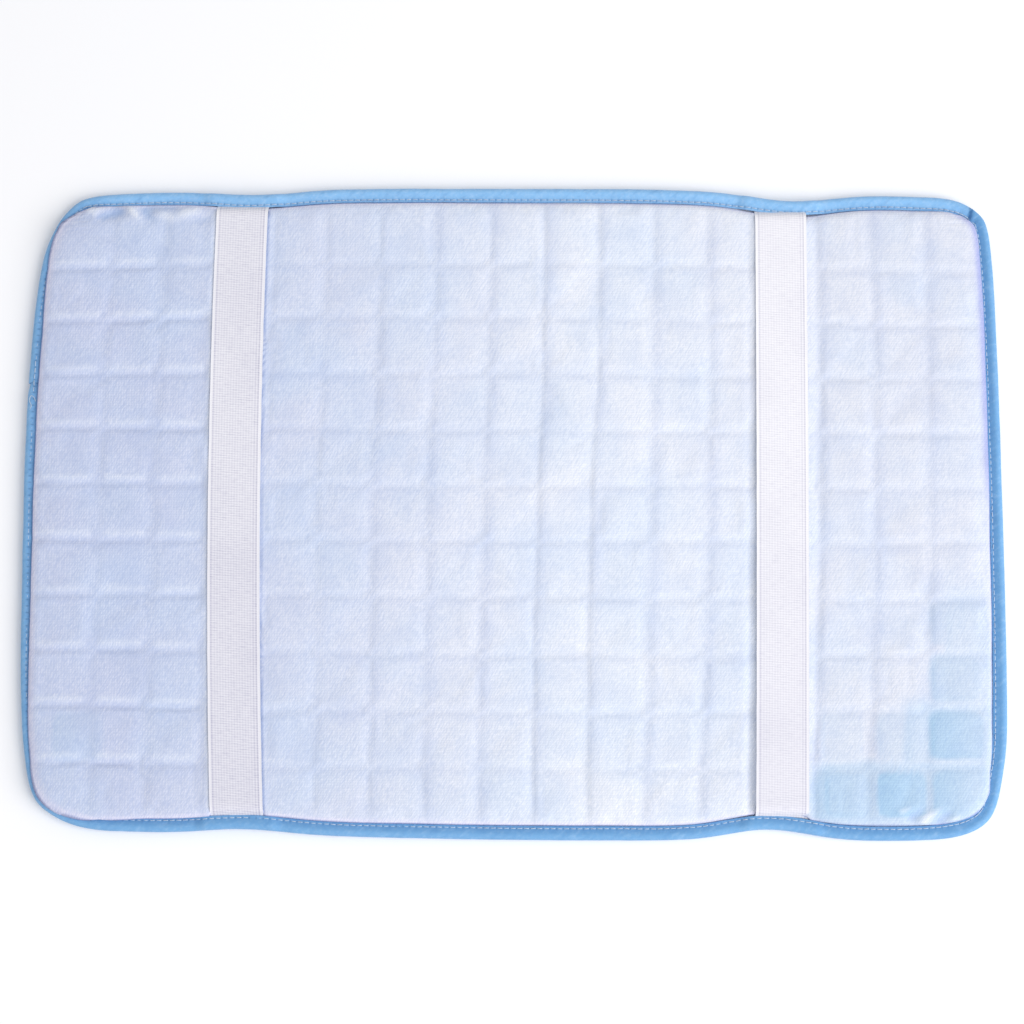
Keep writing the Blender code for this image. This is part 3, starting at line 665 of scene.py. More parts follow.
def tape_rise(run, from_start, width):
    """How far the tape stands out from its plain section: stitched, gathered, lapped and pleated."""
    upper = width < 0.5
    inner = bump(np.where(upper, width, 1 - width) - 0.10, 0.12)
    between = np.abs(np.sin(math.pi * run / WAY_ROUND * STITCH_COUNT))
    rise = (0.10 * between - 0.05) * inner
    rise += wander(run, width * 0.02, 6 * MM, 40.0) * 0.14 * (0.4 + inner)
    rise += wander(run, width * 0.02, 21 * MM, 44.0) * 0.12
    corner = np.zeros(len(run))
    for turn in CORNER_RUNS[1:]:
        corner = np.maximum(corner, bump(run % WAY_ROUND - turn, 16 * MM))
    rise += corner * inner * 0.22 * np.sin(run * 2 * math.pi / (5.2 * MM))
    lap = 1 - smooth((from_start - LAP_LENGTH) / (5 * MM))
    rise += 0.62 * lap + 0.45 * bump(from_start - 0.8 * MM, 1.1 * MM) * bump(width - 0.12, 0.14)
    past = run % WAY_ROUND - PLEAT_RUN + (0.5 - width).clip(0) * 8 * MM
    folded = np.exp(-np.abs(past) / np.where(past > 0, 9 * MM, 0.5 * MM))
    rise += upper * (0.65 * folded - 0.35 * bump(past + 1.0 * MM, 0.9 * MM)) * smooth((0.47 - width) / 0.1)
    return rise * MM


def seam_inset(run, upper):
    """How far in from the mat's edge the seam runs, on the tape's upper lip or its lower one."""
    return (at_knots(run, SEAM_INSETS) + at_knots(run, WIDER_LIPS) * upper) * MM


def make_binding(material):
    """One strip of tape folded over the edge all the way round, its end lapped over its start on the left."""
    length = WAY_ROUND + LAP_LENGTH
    obj = grid_object("edge_binding_tape", 1180, 34, material)
    along, across = (places_of(obj.data)[:, :2].T + 1) / 2
    from_start = along * length
    run = LAP_START + from_start
    step = across * TAPE_STEPS[-1]
    section = np.column_stack([np.interp(step, TAPE_STEPS, TAPE_PROFILE[:, k]) for k in range(2)])
    way = np.column_stack([np.interp(step, TAPE_STEPS, TAPE_WAYS[:, k]) for k in range(2)])
    outwards = np.column_stack((-way[:, 1], way[:, 0]))
    section = section + outwards * tape_rise(run, from_start, across)[:, None]
    rim = rim_at(run)
    upper = smooth((section[:, 1] - 2 * MM) / (2.5 * MM))
    section[:, 0] += at_knots(run, WIDER_LIPS) * MM * upper * smooth((section[:, 0] - 3.6 * MM) / (1.4 * MM))
    places = rim[:, :2] + rim[:, 2:] * section[:, :1]
    height = section[:, 1] + lip_lift(run) * upper
    put_places(obj.data, np.column_stack((places, height)))
    add_values(obj.data, "seam", bump(section[:, 0] - seam_inset(run, upper), 0.9 * MM))
    add_values(obj.data, "stitch", run / WAY_ROUND * STITCH_COUNT)
    # Painted shade on the tape: heavier on its inner side, and a painted shadow with a dark line just past
    # the pleat
    inner_side = smooth((section[:, 0] - 1.0 * MM) / (3 * MM))
    flat = at_knots(run, TAPE_SHADES)
    past = PLEAT_RUN - section[:, 0] * 0.62 - run % WAY_ROUND
    pleat_shadow = (past > 0) * 0.65 * np.exp(-np.abs(past) / (6 * MM)) + 1.5 * bump(past - 0.4 * MM, 0.7 * MM)
    add_values(obj.data, "shade", flat * (0.75 + 0.25 * inner_side) + pleat_shadow * (across < 0.5))
    thick = obj.modifiers.new("tape thickness", "SOLIDIFY")
    thick.thickness = TAPE_THICKNESS
    thick.offset = 0
    return obj, length


def draw_thread(sheet, places):
    """Draws the ring of edges that the sheet holds out through these places into a thread."""
    edges = sheet.edges[:]
    for place in places:
        made = bmesh.ops.extrude_edge_only(sheet, edges=edges)["geom"]
        verts = [g for g in made if isinstance(g, bmesh.types.BMVert)]
        middle = sum((v.co for v in verts), Vector()) / len(verts)
        bmesh.ops.translate(sheet, verts=verts, vec=Vector(place) - middle)
        edges = [g for g in made if isinstance(g, bmesh.types.BMEdge) and all(v in verts for v in g.verts)]
    bmesh.ops.recalc_face_normals(sheet, faces=sheet.faces[:])


# A stitch's path along X, down into the tape at both ends: X and Z in millimetres
STITCH_PATH = ((-1.15, -0.30), (-0.85, -0.02), (-0.3, 0.1), (0.3, 0.1), (0.85, -0.02), (1.15, -0.30))


def stitch_form():
    """One stitch: a short thread that goes down into the tape at both ends, lying along X."""
    path = [Vector((x, 0, z)) * MM for x, z in STITCH_PATH]
    sheet = bmesh.new()
    ring = bmesh.ops.create_circle(sheet, cap_ends=False, segments=6, radius=STITCH_RADIUS)["verts"]
    bmesh.ops.rotate(sheet, verts=ring, matrix=Euler((0, math.radians(90), 0)).to_matrix())
    bmesh.ops.translate(sheet, verts=ring, vec=path[0])
    draw_thread(sheet, path[1:])
    mesh = bpy.data.meshes.new("stitch")
    sheet.to_mesh(mesh)
    sheet.free()
    return mesh


def make_stitches(name, upper, material):
    """The lockstitch's row of stitches round the mat, on the tape's upper or lower lip."""
    form = stitch_form()
    sheet = bmesh.new()
    count = STITCH_COUNT
    runs = (np.arange(count) + 0.5) * WAY_ROUND / count
    insets = seam_inset(runs, upper) + wander(runs, runs * 0, 25 * MM, 52.0) * 0.3 * MM
    # The tape stands higher nearer to its fold
    heights = (5.13 + np.interp(insets / MM, (3.0, 5.15), (0.5, 0)) - at_knots(runs, SEAM_SINKS)) * MM
    rim = rim_at(runs)
    lifts = lip_lift(runs)
    slope = np.gradient(lifts, runs)
    from_start = (runs - LAP_START) % WAY_ROUND
    rises = tape_rise(runs, from_start, np.full(count, 0.11))
    for i in range(count):
        x, y, inward_x, inward_y = rim[i]
        first = len(sheet.verts)
        sheet.from_mesh(form)
        sheet.verts.ensure_lookup_table()
        verts = sheet.verts[first:]
        turn = math.atan2(-inward_x, inward_y) + noise.noise(Vector((i * 0.7, 0, 3))) * 0.22
        if upper:
            height = heights[i] + lifts[i] + rises[i]
            tilt = Euler((0, -math.atan(slope[i]), turn))
        else:
            height = 0.72 * MM
            tilt = Euler((math.pi, 0, turn))
        place = Vector((x + inward_x * insets[i], y + inward_y * insets[i], height))
        bmesh.ops.transform(sheet, matrix=Matrix.LocRotScale(place, tilt, None), verts=verts)
    bpy.data.meshes.remove(form)
    return mesh_object(name, sheet, material)


# A strap's path from its sewn end towards the mat's middle: inset from the mat's edge, and height
STRAP_KNOTS = ((3.2, 4.95), (5.0, 5.0), (6.5, 6.2), (8.4, 8.6), (10.4, 9.45), (13.5, 9.58))


def open_middle(obj):
    """Takes off the cut end at the middle of the mat, where the other half goes on, and keeps edges crisp."""
    sheet = bmesh.new()
    sheet.from_mesh(obj.data)
    cut = [face for face in sheet.faces if all(abs(vert.co.y) < 0.01 * MM for vert in face.verts)]
    bmesh.ops.delete(sheet, geom=cut, context="FACES")
    sheet.to_mesh(obj.data)
    sheet.free()
    obj.data.set_sharp_from_angle(angle=math.radians(50))


def make_strap_half(strap, side, material):
    """Half an elastic, from the mat's middle to where it is sewn in under the tape, with two thick edges."""
    name = f"{strap}_{'far' if side > 0 else 'near'}_half"
    obj = grid_object(name, 22, 120, material)
    across, along = places_of(obj.data)[:, :2].T
    path = curve_through([Vector((*knot, 0)) for knot in STRAP_KNOTS], 10)[:, :2] * MM
    edge_x = strap_centre(strap, side)
    edge_y = abs(rim_at(np.array([run_near(edge_x, side * MAT_WIDTH / 2)]))[0, 1])
    ends = np.column_stack((edge_y - path[:, 0], path[:, 1]))
    ends = np.vstack((ends, (0, ends[-1, 1])))
    steps = runs_along(ends)
    share = (1 - side * along) / 2
    # The middle of the mat takes fewer rows than the bend at the edge
    step = (0.35 * share + 0.65 * share**2) * steps[-1]
    y, z = [np.interp(step, steps, ends[:, k]) for k in range(2)]
    centre = np.array([strap_centre(strap, side * v / (MAT_WIDTH / 2)) for v in y])
    selvedge = bump(np.abs(across) - 0.955, 0.035)
    inner_line = bump(np.abs(across) - 0.885, 0.02)
    z = z + (0.10 * selvedge - 0.08 * inner_line) * MM
    z += 0.10 * MM * wander(across * 6 * MM, y * side, 22 * MM, 60.0 + edge_x * 50) * smooth(step / (20 * MM))
    ripple = wander(np.sign(across) * 9.0, y * side, 9 * MM, 61.0) * 0.12 * MM * np.abs(across) ** 6
    x = centre + across * STRAP_WIDTH / 2 + ripple
    put_places(obj.data, np.column_stack((x, side * y, z)))
    add_values(obj.data, "across", across)
    thick = obj.modifiers.new("band thickness", "SOLIDIFY")
    thick.thickness = BAND_THICKNESS
    thick.offset = 0
    apply_modifiers(obj)
    open_middle(obj)
    return obj, side * edge_y


# The gel in its pack: heights of its underside and of the web between cells, and how far a full cell stands
# over the web
GEL_UNDERSIDE = 1.5 * MM
GEL_WEB = 1.9 * MM
GEL_CROWN = 4.55 * MM


def make_gel(material):
    """The gel itself: a soft pillow in each cell, joined along its row and to the next by a thin web."""
    obj = grid_object("gel_cells", COLUMNS * 14, ROWS * 14, material)
    across, along = places_of(obj.data)[:, :2].T
    half_x, half_y = COLUMNS * COLUMN_PITCH / 2 - 1.5 * MM, ROWS * ROW_PITCH / 2 - 1.0 * MM
    x, y = across * half_x, along * half_y
    rim_x = np.minimum(1, 1 - 0.035 * smooth((np.abs(along) - 0.75) / 0.25))
    rim_y = np.minimum(1, 1 - 0.035 * smooth((np.abs(across) - 0.8) / 0.2))
    x, y = x * rim_x, y * rim_y
    column = np.abs((across + 1) / 2 * COLUMNS % 1 - 0.5) * 2
    row = np.abs((along + 1) / 2 * ROWS % 1 - 0.5) * 2
    full = (1 - np.clip(column, 0, 1) ** 6) * (1 - np.clip(row, 0, 1) ** 6)
    height = GEL_WEB + (GEL_CROWN + 0.25 * MM * wander(x, y, 28 * MM, 70.0)) * full**0.6
    put_places(obj.data, np.column_stack((x, y, height)))
    floor = obj.modifiers.new("gel depth", "SOLIDIFY")
    floor.thickness = 0.3 * MM
    floor.offset = -1
    apply_modifiers(obj)
    # The second half of the vertices is the underside
    places = places_of(obj.data)
    places[len(places) // 2:, 2] = GEL_UNDERSIDE
    put_places(obj.data, places)
    return obj


# The films of the pack: how far in from the mat's edge they end, the heights of each over a cell and at the
# rim, and how far the upper one goes down to a weld
FILM_INSET = 3.1 * MM
UPPER_FILM_HEIGHTS = (7.05 * MM, 3.25 * MM)
LOWER_FILM_HEIGHTS = (1.05 * MM, 2.75 * MM)
WELD_DEPTH = 4.3 * MM


def make_film(name, upper, material):
    """One of the gel pack's two films. The upper one stands over each cell and is welded between them."""
    obj = grid_object(name, COLUMNS * 9, ROWS * 9, material)
    flat, inset, _, inward = spread_in_outline(obj)
    moved = np.maximum(inset, FILM_INSET) - inset
    places = flat + inward * moved[:, None]
    column_off, _ = line_away(places[:, 0], COLUMN_PITCH, COLUMNS)
    row_off, _ = line_away(places[:, 1], ROW_PITCH, ROWS)
    rim = smooth(1 - (inset - 8 * MM) / (5.5 * MM))
    height, rim_height = UPPER_FILM_HEIGHTS if upper else LOWER_FILM_HEIGHTS
    if upper:
        height = height - WELD_DEPTH * np.maximum(bump(column_off, 2.4 * MM), bump(row_off, 2.4 * MM))
    put_places(obj.data, np.column_stack((places, height * (1 - rim) + rim_height * rim)))
    return obj


# Where the loose thread's end goes, in millimetres
LOOSE_THREAD_KNOTS = (
    (-219.6, 49.6, 5.6), (-220.6, 51.6, 6.3), (-221.9, 51.9, 6.4), (-222.5, 49.8, 6.0), (-221.6, 47.6, 5.9),
    (-222.2, 45.4, 5.6), (-221.2, 43.9, 5.5),
)


def make_loose_thread(material):
    """The short end of thread that stands out of the lap on the left side."""
    line = curve_through([Vector(knot) * MM for knot in LOOSE_THREAD_KNOTS], 6)
    sheet = bmesh.new()
    bmesh.ops.create_circle(sheet, cap_ends=True, segments=6, radius=LOOSE_THREAD_RADIUS)
    bmesh.ops.translate(sheet, verts=sheet.verts[:], vec=Vector(line[0]))
    draw_thread(sheet, line[1:])
    return mesh_object("loose_thread", sheet, material)


# The wave texture draws 10 / pi bands a metre at a scale of 1
BAND_SCALE = math.pi / 10


def lay_tints(tree, colour, layers):
    """Lays tints over a colour. Each comes in with a value, from one amount to another, up to a share."""
    for tint, value, start, stop, share in layers:
        amount = add_node(tree, "ShaderNodeMapRange", {
            "Value": value, "From Min": start, "From Max": stop, "To Max": share,
        })
        colour = add_node(tree, "ShaderNodeMix", {
            "data_type": "RGBA", "Factor": amount, "A": colour, "B": tint,
        }, "Result")
    return colour


def add_amounts(tree, total, layers):
    """Adds amounts up. Each one follows a value, from one amount of it to another, up to a most."""
    for value, start, stop, most in layers:
        amount = add_node(tree, "ShaderNodeMapRange", {
            "Value": value, "From Min": start, "From Max": stop, "To Max": most,
        })
        total = add_node(tree, "ShaderNodeMath", {"operation": "ADD", 0: total, 1: amount})
    return total


def cloth_material():
    """Fine woven polyester of the back: streaky threads, a soft sheen, and so thin that gel shows through."""
    material, tree, shader = start_material("woven_polyester", {
        "Roughness": 0.75, "Sheen Weight": 0.10, "Sheen Roughness": 0.4, "Specular IOR Level": 0.25,
    })
    place = add_node(tree, "ShaderNodeTexCoord", {}, "Object")
    across, along, _ = add_node(tree, "ShaderNodeSeparateXYZ", {"Vector": place}).node.outputs
    names = ("gel_shows", "hem", "pressed", "pucker", "edge_shade", "shade_beside_strap", "painted_highlight")
    shows, hem, pressed, pucker, edge_shade, beside, painted_highlight = [
        add_node(tree, "ShaderNodeAttribute", {"attribute_name": name}, "Fac") for name in names
    ]
    broad, patchy = [
        add_node(tree, "ShaderNodeTexNoise", {"Vector": place, "Scale": scale, "Detail": detail})
        for scale, detail in ((26.0, 3.0), (75.0, 2.0))
    ]
    # The slubs of the weft are what the eye reads as short slanting streaks
    grains = []
    for turn, length, width, detail in ((62, 6.5, 0.9, 1.5), (58, 2.3, 0.55, 1.0)):
        grain = add_node(tree, "ShaderNodeMapping", {
            "vector_type": "TEXTURE", "Vector": place, "Rotation": (0, 0, math.radians(turn)),
            "Scale": (length * MM, width * MM, 1),
        })
        grains.append(add_node(tree, "ShaderNodeTexNoise", {"Vector": grain, "Scale": 1.0, "Detail": detail}))
    streaks, specks = grains
    # The weave is finer than a pixel, and is drawn coarser, at about 1.1 mm, to show at all
    rows, columns = [
        add_node(tree, "ShaderNodeTexWave", {
            "wave_type": "BANDS", "bands_direction": direction, "Vector": place, "Scale": BAND_SCALE / pitch,
            "Distortion": distortion, "Detail": 2.0, "Detail Scale": 2.0,
        }, "Fac")
        for direction, pitch, distortion in (("Y", 1.12 * MM, 2.6), ("X", 1.2 * MM, 2.2))
    ]
    colour = lay_tints(tree, linear("#e8ebf3"), (
        # Painted shade: the cloth is darker towards its left end, where less light falls, and a little darker
        # towards its right end
        (linear("#cfd5ea"), across, 0.03, -0.17, 1),
        (linear("#dee1eb"), across, 0.06, 0.16, 1),
        (linear("#c8daf1"), broad, 0.38, 0.66, 0.32),
        # Painted shade beside the pressed lines, bluish with the gel under it
        (linear("#b3c1e6"), pressed, 0, 1, 0.26),
        (linear("#a9c8e2"), shows, 0, 1, 1),
        # Painted shade in the gathers' hollows and painted highlight on their crests
        (linear("#abc1e4"), pucker, 0.46, 0.10, 0.75),
        (linear("#f4f6fb"), pucker, 0.56, 0.90, 0.65),
        # Paler hem: partly a painted highlight on the rolled edge
        (linear("#ebe6f6"), hem, 0, 1, 0.8),
        # Painted highlight on the lit flanks of the cells and beside the left elastic
        (linear("#f3f6fc"), painted_highlight, 0, 1, 1),
        (linear("#979fd6"), edge_shade, 0, 1, 0.8),
        # Painted shade in a thin line beside the left elastic
        (linear("#8c9fc9"), beside, 0, 1, 0.7),
    ))

    # The streaks, the specks and the warp show more towards the left
    slub_share, speck_share, warp_share = [
        add_node(tree, "ShaderNodeMapRange", {
            "Value": across, "From Min": 0.03, "From Max": -0.17, "To Min": right, "To Max": left,
        })
        for right, left in ((0.46, 0.80), (0.34, 0.88), (0, 0.60))
    ]
    # In patches the weave shows as a fine check
    check_share = add_node(tree, "ShaderNodeMapRange", {
        "Value": patchy, "From Min": 0.46, "From Max": 0.64, "To Max": 0.5,
    })
    row_wave, column_wave = [
        add_node(tree, "ShaderNodeMath", {"operation": "SUBTRACT", 0: wave, 1: 0.5})
        for wave in (rows, columns)
    ]
    check = add_node(tree, "ShaderNodeMath", {"operation": "MULTIPLY", 0: row_wave, 1: column_wave})
    # Painted shade: the cloth is a little darker towards the near edge, where less light falls, but not over
    # the gel in the corner
    clear = add_node(tree, "ShaderNodeMath", {"operation": "SUBTRACT", 0: 1.0, 1: shows})
    thread = lay_tints(tree, (1, 1, 1, 1), (
        ((0.952, 0.961, 0.958, 1), along, -0.02, -0.12, clear),
        ((0.76, 0.81, 0.91, 1), streaks, 0.60, 0.36, slub_share),
        ((1.06, 1.045, 1.03, 1), specks, 0.48, 0.66, 1),
        ((0.78, 0.82, 0.90, 1), specks, 0.48, 0.30, speck_share),
        ((0.80, 0.84, 0.92, 1), rows, 0.65, 0.05, 0.34),
        ((0.80, 0.84, 0.92, 1), columns, 0.60, 0.05, warp_share),
        ((0.74, 0.79, 0.90, 1), check, -0.25, 0.25, check_share),
    ))
    woven = add_node(tree, "ShaderNodeMix", {
        "data_type": "RGBA", "blend_type": "MULTIPLY", "Factor": 1.0, "A": colour, "B": thread,
    }, "Result")
    tree.links.new(woven, shader.inputs["Base Color"])

    height = add_node(tree, "ShaderNodeMath", {"operation": "MULTIPLY_ADD", 0: rows, 1: 0.35, 2: streaks})
    height = add_node(tree, "ShaderNodeMath", {"operation": "MULTIPLY_ADD", 0: columns, 1: 0.18, 2: height})
    raised = add_node(tree, "ShaderNodeBump", {"Strength": 0.5, "Distance": 0.16 * MM, "Height": height})
    tree.links.new(raised, shader.inputs["Normal"])
    return material


def knit_material(name, colour, dark, sheen, pitch):
    """A fine smooth knit: tiny loops in rows along it, a soft sheen, and a little colour variation and wear.

    Gives the material, its tree and shader, and the knit's colour, for the finish that lies over it.
    """
    material, tree, shader = start_material(name, {
        "Roughness": 0.7, "Sheen Weight": sheen, "Sheen Roughness": 0.45, "Specular IOR Level": 0.3,
    })
    place = add_node(tree, "ShaderNodeTexCoord", {}, "Object")
    broad, fine = [
        add_node(tree, "ShaderNodeTexNoise", {"Vector": place, "Scale": scale, "Detail": detail})
        for scale, detail in ((45.0, 3.0), (800.0, 1.0))
    ]
    base = lay_tints(tree, linear(colour), (
        (linear(dark), broad, 0.35, 0.65, 0.45),
        (linear("#c3dcf5"), fine, 0.45, 0.8, 0.25),
    ))
    loops = add_node(tree, "ShaderNodeTexVoronoi", {"Vector": place, "Scale": 1 / pitch, "Randomness": 0.75})
    raised = add_node(tree, "ShaderNodeBump", {"Strength": 0.4, "Distance": 0.1 * MM, "Height": loops})
    tree.links.new(raised, shader.inputs["Normal"])
    return material, tree, shader, base


def front_material():
    """The front's cool-touch knit: light blue, smooth and a little shiny, and darker along the welds."""
    material, tree, shader, base = knit_material("cool_touch_knit", "#bcd6f2", "#a9c8ec", 0.3, 1.1 * MM)
    welded = add_node(tree, "ShaderNodeAttribute", {"attribute_name": "welded"}, "Fac")
    darkened = lay_tints(tree, base, ((linear("#8fb6e0"), welded, 0, 1, 0.4),))
    tree.links.new(darkened, shader.inputs["Base Color"])
    return material


def tape_material():
    """Knitted binding tape, sky blue, drawn together to a dent at each hole of the seam, with painted shade
    along the seam and in each hole.
    """
    material, tree, shader, base = knit_material("knitted_binding_tape", "#8fc2ef", "#84b7e5", 0.12, 0.9 * MM)
    seam, stitch, shade = [
        add_node(tree, "ShaderNodeAttribute", {"attribute_name": name}, "Fac")
        for name in ("seam", "stitch", "shade")
    ]
    # Painted shade: darker where the light falls less, and a painted shadow at the pleat
    darker = lay_tints(tree, (1, 1, 1, 1), (
        ((0.47, 0.61, 0.71, 1), shade, 0, 1, 1),
        ((0.22, 0.36, 0.52, 1), shade, 1.0, 1.9, 1),
    ))
    shaded = add_node(tree, "ShaderNodeMix", {
        "data_type": "RGBA", "blend_type": "MULTIPLY", "Factor": 1.0, "A": base, "B": darker,
    }, "Result")
    # Small creases slant across it where it is drawn round the edge, painted as darker and paler streaks:
    # painted shade and highlight
    place = add_node(tree, "ShaderNodeTexCoord", {}, "Object")
    slanted = add_node(tree, "ShaderNodeMapping", {
        "vector_type": "TEXTURE", "Vector": place, "Rotation": (0, 0, math.radians(35)),
        "Scale": (5.5 * MM, 2.2 * MM, 1),
    })
    folds = add_node(tree, "ShaderNodeTexNoise", {"Vector": slanted, "Scale": 1.0, "Detail": 2.0})
    creases = add_node(tree, "ShaderNodeMath", {"operation": "MULTIPLY_ADD", 0: seam, 1: 0.05, 2: folds})
    # One hole a stitch, in the narrow line of the seam, darkened with painted shade
    turn = add_node(tree, "ShaderNodeMath", {"operation": "MULTIPLY", 0: stitch, 1: 2 * math.pi})
    near_hole = add_node(tree, "ShaderNodeMath", {"operation": "COSINE", 0: turn})
    line = add_node(tree, "ShaderNodeMath", {"operation": "POWER", 0: seam, 1: 2.0})
    hole_share = add_node(tree, "ShaderNodeMath", {"operation": "MULTIPLY", 0: line, 1: 0.5})
    finished = lay_tints(tree, shaded, (
        (linear("#5b8ec4"), creases, 0.52, 0.80, 0.40),
        (linear("#b9d9f8"), creases, 0.45, 0.22, 0.22),
        # Painted shade along the seam's groove and in each hole
        (linear("#5d86b6"), seam, 0, 1, 0.15),
        (linear("#446897"), near_hole, 0.5, 0.95, hole_share),
    ))
    tree.links.new(finished, shader.inputs["Base Color"])
    return material


def elastic_material():
    """White ribbed woven elastic: fine ribs across, rubber threads along, and a plain selvedge each side."""
    material, tree, shader = start_material("ribbed_elastic", {
        "Roughness": 0.8, "Sheen Weight": 0.1, "Specular IOR Level": 0.25,
    })
    place = add_node(tree, "ShaderNodeTexCoord", {}, "Object")
    x, y, _ = add_node(tree, "ShaderNodeSeparateXYZ", {"Vector": place}).node.outputs
    across = add_node(tree, "ShaderNodeAttribute", {"attribute_name": "across"}, "Fac")
    away = add_node(tree, "ShaderNodeMath", {"operation": "ABSOLUTE", 0: across})
    # Ribs are 0.8 mm on the real band and are drawn at 1.1 mm, the finest that still shows
    slanted = add_node(tree, "ShaderNodeMapping", {"Vector": place, "Rotation": (0, 0, math.radians(4))})
    side = add_node(tree, "ShaderNodeCombineXYZ", {"X": across})
    ribs, threads = [
        add_node(tree, "ShaderNodeTexWave", {
            "wave_type": "BANDS", "bands_direction": direction, "Vector": vector, "Scale": BAND_SCALE / pitch,
            "Distortion": distortion, "Detail": 2.0, "Detail Scale": 2.0,
        }, "Fac")
        for direction, vector, pitch, distortion in (("Y", slanted, 1.1 * MM, 1.6), ("X", side, 2 / 19, 0.0))
    ]
    drawn_out = add_node(tree, "ShaderNodeMapping", {
        "vector_type": "TEXTURE", "Vector": place, "Rotation": (0, 0, math.radians(-4)),
        "Scale": (3.6 * MM, 0.5 * MM, 1),
    })
    uneven = add_node(tree, "ShaderNodeTexNoise", {"Vector": drawn_out, "Scale": 1.0, "Detail": 1.5})
    dust = add_node(tree, "ShaderNodeTexNoise", {"Vector": place, "Scale": 35.0, "Detail": 4.0})
    inner_line, second_line = [
        add_node(tree, "ShaderNodeMath", {"operation": "COMPARE", 0: value, 1: middle, 2: half_width})
        for value, middle, half_width in ((away, 0.87, 0.022), (across, 0.76, 0.02))
    ]
    ribbed = add_node(tree, "ShaderNodeMath", {"operation": "LESS_THAN", 0: away, 1: 0.9})
    # Between the selvedges the ribs and the threads are dark, half as much again on the left
    weave_share = add_node(tree, "ShaderNodeMapRange", {
        "Value": x, "From Max": -0.12, "To Min": 1, "To Max": 1.5,
    })
    weave_share = add_node(tree, "ShaderNodeMath", {"operation": "MULTIPLY", 0: weave_share, 1: ribbed})
    weave_dark = add_amounts(tree, 0, (
        (ribs, 1, 0, 0.15),
        (threads, 1, 0, 0.12),
        (uneven, 0.55, 0.30, 0.15),
    ))
    weave_dark = add_node(tree, "ShaderNodeMath", {"operation": "MULTIPLY", 0: weave_dark, 1: weave_share})
    dark = add_amounts(tree, weave_dark, (
        (inner_line, 0, 1, 0.30),
        (second_line, 0, 1, 0.16),
        (dust, 0.4, 0.7, 0.10),
        # Painted shade: darker towards the elastic's near end, where less light falls
        (y, 0.03, -0.12, 0.17),
    ))
    colour = lay_tints(tree, linear("#f2f1f6"), (
        # Painted shade: the left elastic is darker, where the light falls off
        (linear("#efeef4"), x, 0, -0.12, 1),
        (linear("#b4b3c8"), dark, 0, 1, 1),
    ))
    tree.links.new(colour, shader.inputs["Base Color"])
    height = add_node(tree, "ShaderNodeMath", {"operation": "ADD", 0: ribs, 1: uneven})
    height = add_node(tree, "ShaderNodeMath", {"operation": "MULTIPLY_ADD", 0: threads, 1: 0.5, 2: height})
    raised = add_node(tree, "ShaderNodeBump", {"Strength": 0.35, "Distance": 0.15 * MM, "Height": height})
    tree.links.new(raised, shader.inputs["Normal"])
    return material


def thread_material():
    """Pale blue polyester sewing thread, with the twist of its plies."""
    material, tree, shader = start_material("polyester_thread", {"Roughness": 0.55, "Sheen Weight": 0.1})
    place = add_node(tree, "ShaderNodeTexCoord", {}, "Object")
    spots = add_node(tree, "ShaderNodeTexNoise", {"Vector": place, "Scale": 1200.0, "Detail": 1.0})
    colour = lay_tints(tree, linear("#cfdce9"), ((linear("#96b1d0"), spots, 0, 1, 1),))
    tree.links.new(colour, shader.inputs["Base Color"])
    raised = add_node(tree, "ShaderNodeBump", {"Strength": 0.6, "Distance": 0.1 * MM, "Height": spots})
    tree.links.new(raised, shader.inputs["Normal"])
    return material


def film_material():
    """Soft clear film of the gel pack: thin, smooth and a little blue, with faint creases."""
    material, tree, shader = start_material("clear_soft_film", {
        "Base Color": linear("#dcebf8"), "Roughness": 0.2, "IOR": 1.5, "Transmission Weight": 0.85,
        "Alpha": 0.6,
    })
    place = add_node(tree, "ShaderNodeTexCoord", {}, "Object")
    creases = add_node(tree, "ShaderNodeTexNoise", {"Vector": place, "Scale": 160.0, "Detail": 3.0})
    raised = add_node(tree, "ShaderNodeBump", {"Strength": 0.3, "Distance": 0.2 * MM, "Height": creases})
    tree.links.new(raised, shader.inputs["Normal"])
    return material


def gel_material():
    """Soft cooling gel: deep light blue that light goes a little way into, with a wet gloss."""
    material, tree, shader = start_material("cooling_gel", {
        "Roughness": 0.18, "IOR": 1.4, "Subsurface Weight": 0.5, "Subsurface Scale": 3 * MM,
        "Subsurface Radius": (0.4, 0.8, 1.0),
    })
    place = add_node(tree, "ShaderNodeTexCoord", {}, "Object")
    cloudy = add_node(tree, "ShaderNodeTexNoise", {"Vector": place, "Scale": 90.0, "Detail": 3.0})
    colour = lay_tints(tree, linear("#5fa6e6"), ((linear("#8cc2f0"), cloudy, 0, 1, 1),))
    tree.links.new(colour, shader.inputs["Base Color"])
    return material


back_cloth = cloth_material()
front_cloth = front_material()
binding_tape = tape_material()
elastic = elastic_material()
sewing_thread = thread_material()
clear_film = film_material()
blue_gel = gel_material()

back = make_back_cover(back_cloth)
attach(back, "mat")
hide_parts("back_cover")

front = make_front_cover(front_cloth)
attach(front, "mat")
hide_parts("front_cover")

binding, binding_length = make_binding(binding_tape)
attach(binding, "mat")
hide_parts("edge_binding")

needle = make_stitches("needle_stitches", True, sewing_thread)
bobbin = make_stitches("bobbin_stitches", False, sewing_thread)
for stitches, thread in ((needle, "binding_needle_thread"), (bobbin, "binding_bobbin_thread")):
    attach(stitches, "mat")
    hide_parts(thread)
loose = make_loose_thread(sewing_thread)
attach(loose, "mat")

for strap in STRAP_CENTRE_SHARES:
    for side, end in ((-1, "near_end"), (1, "far_end")):
        half, edge_y = make_strap_half(strap, side, elastic)
        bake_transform(half)
        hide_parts(strap, f"{strap}_{end}")

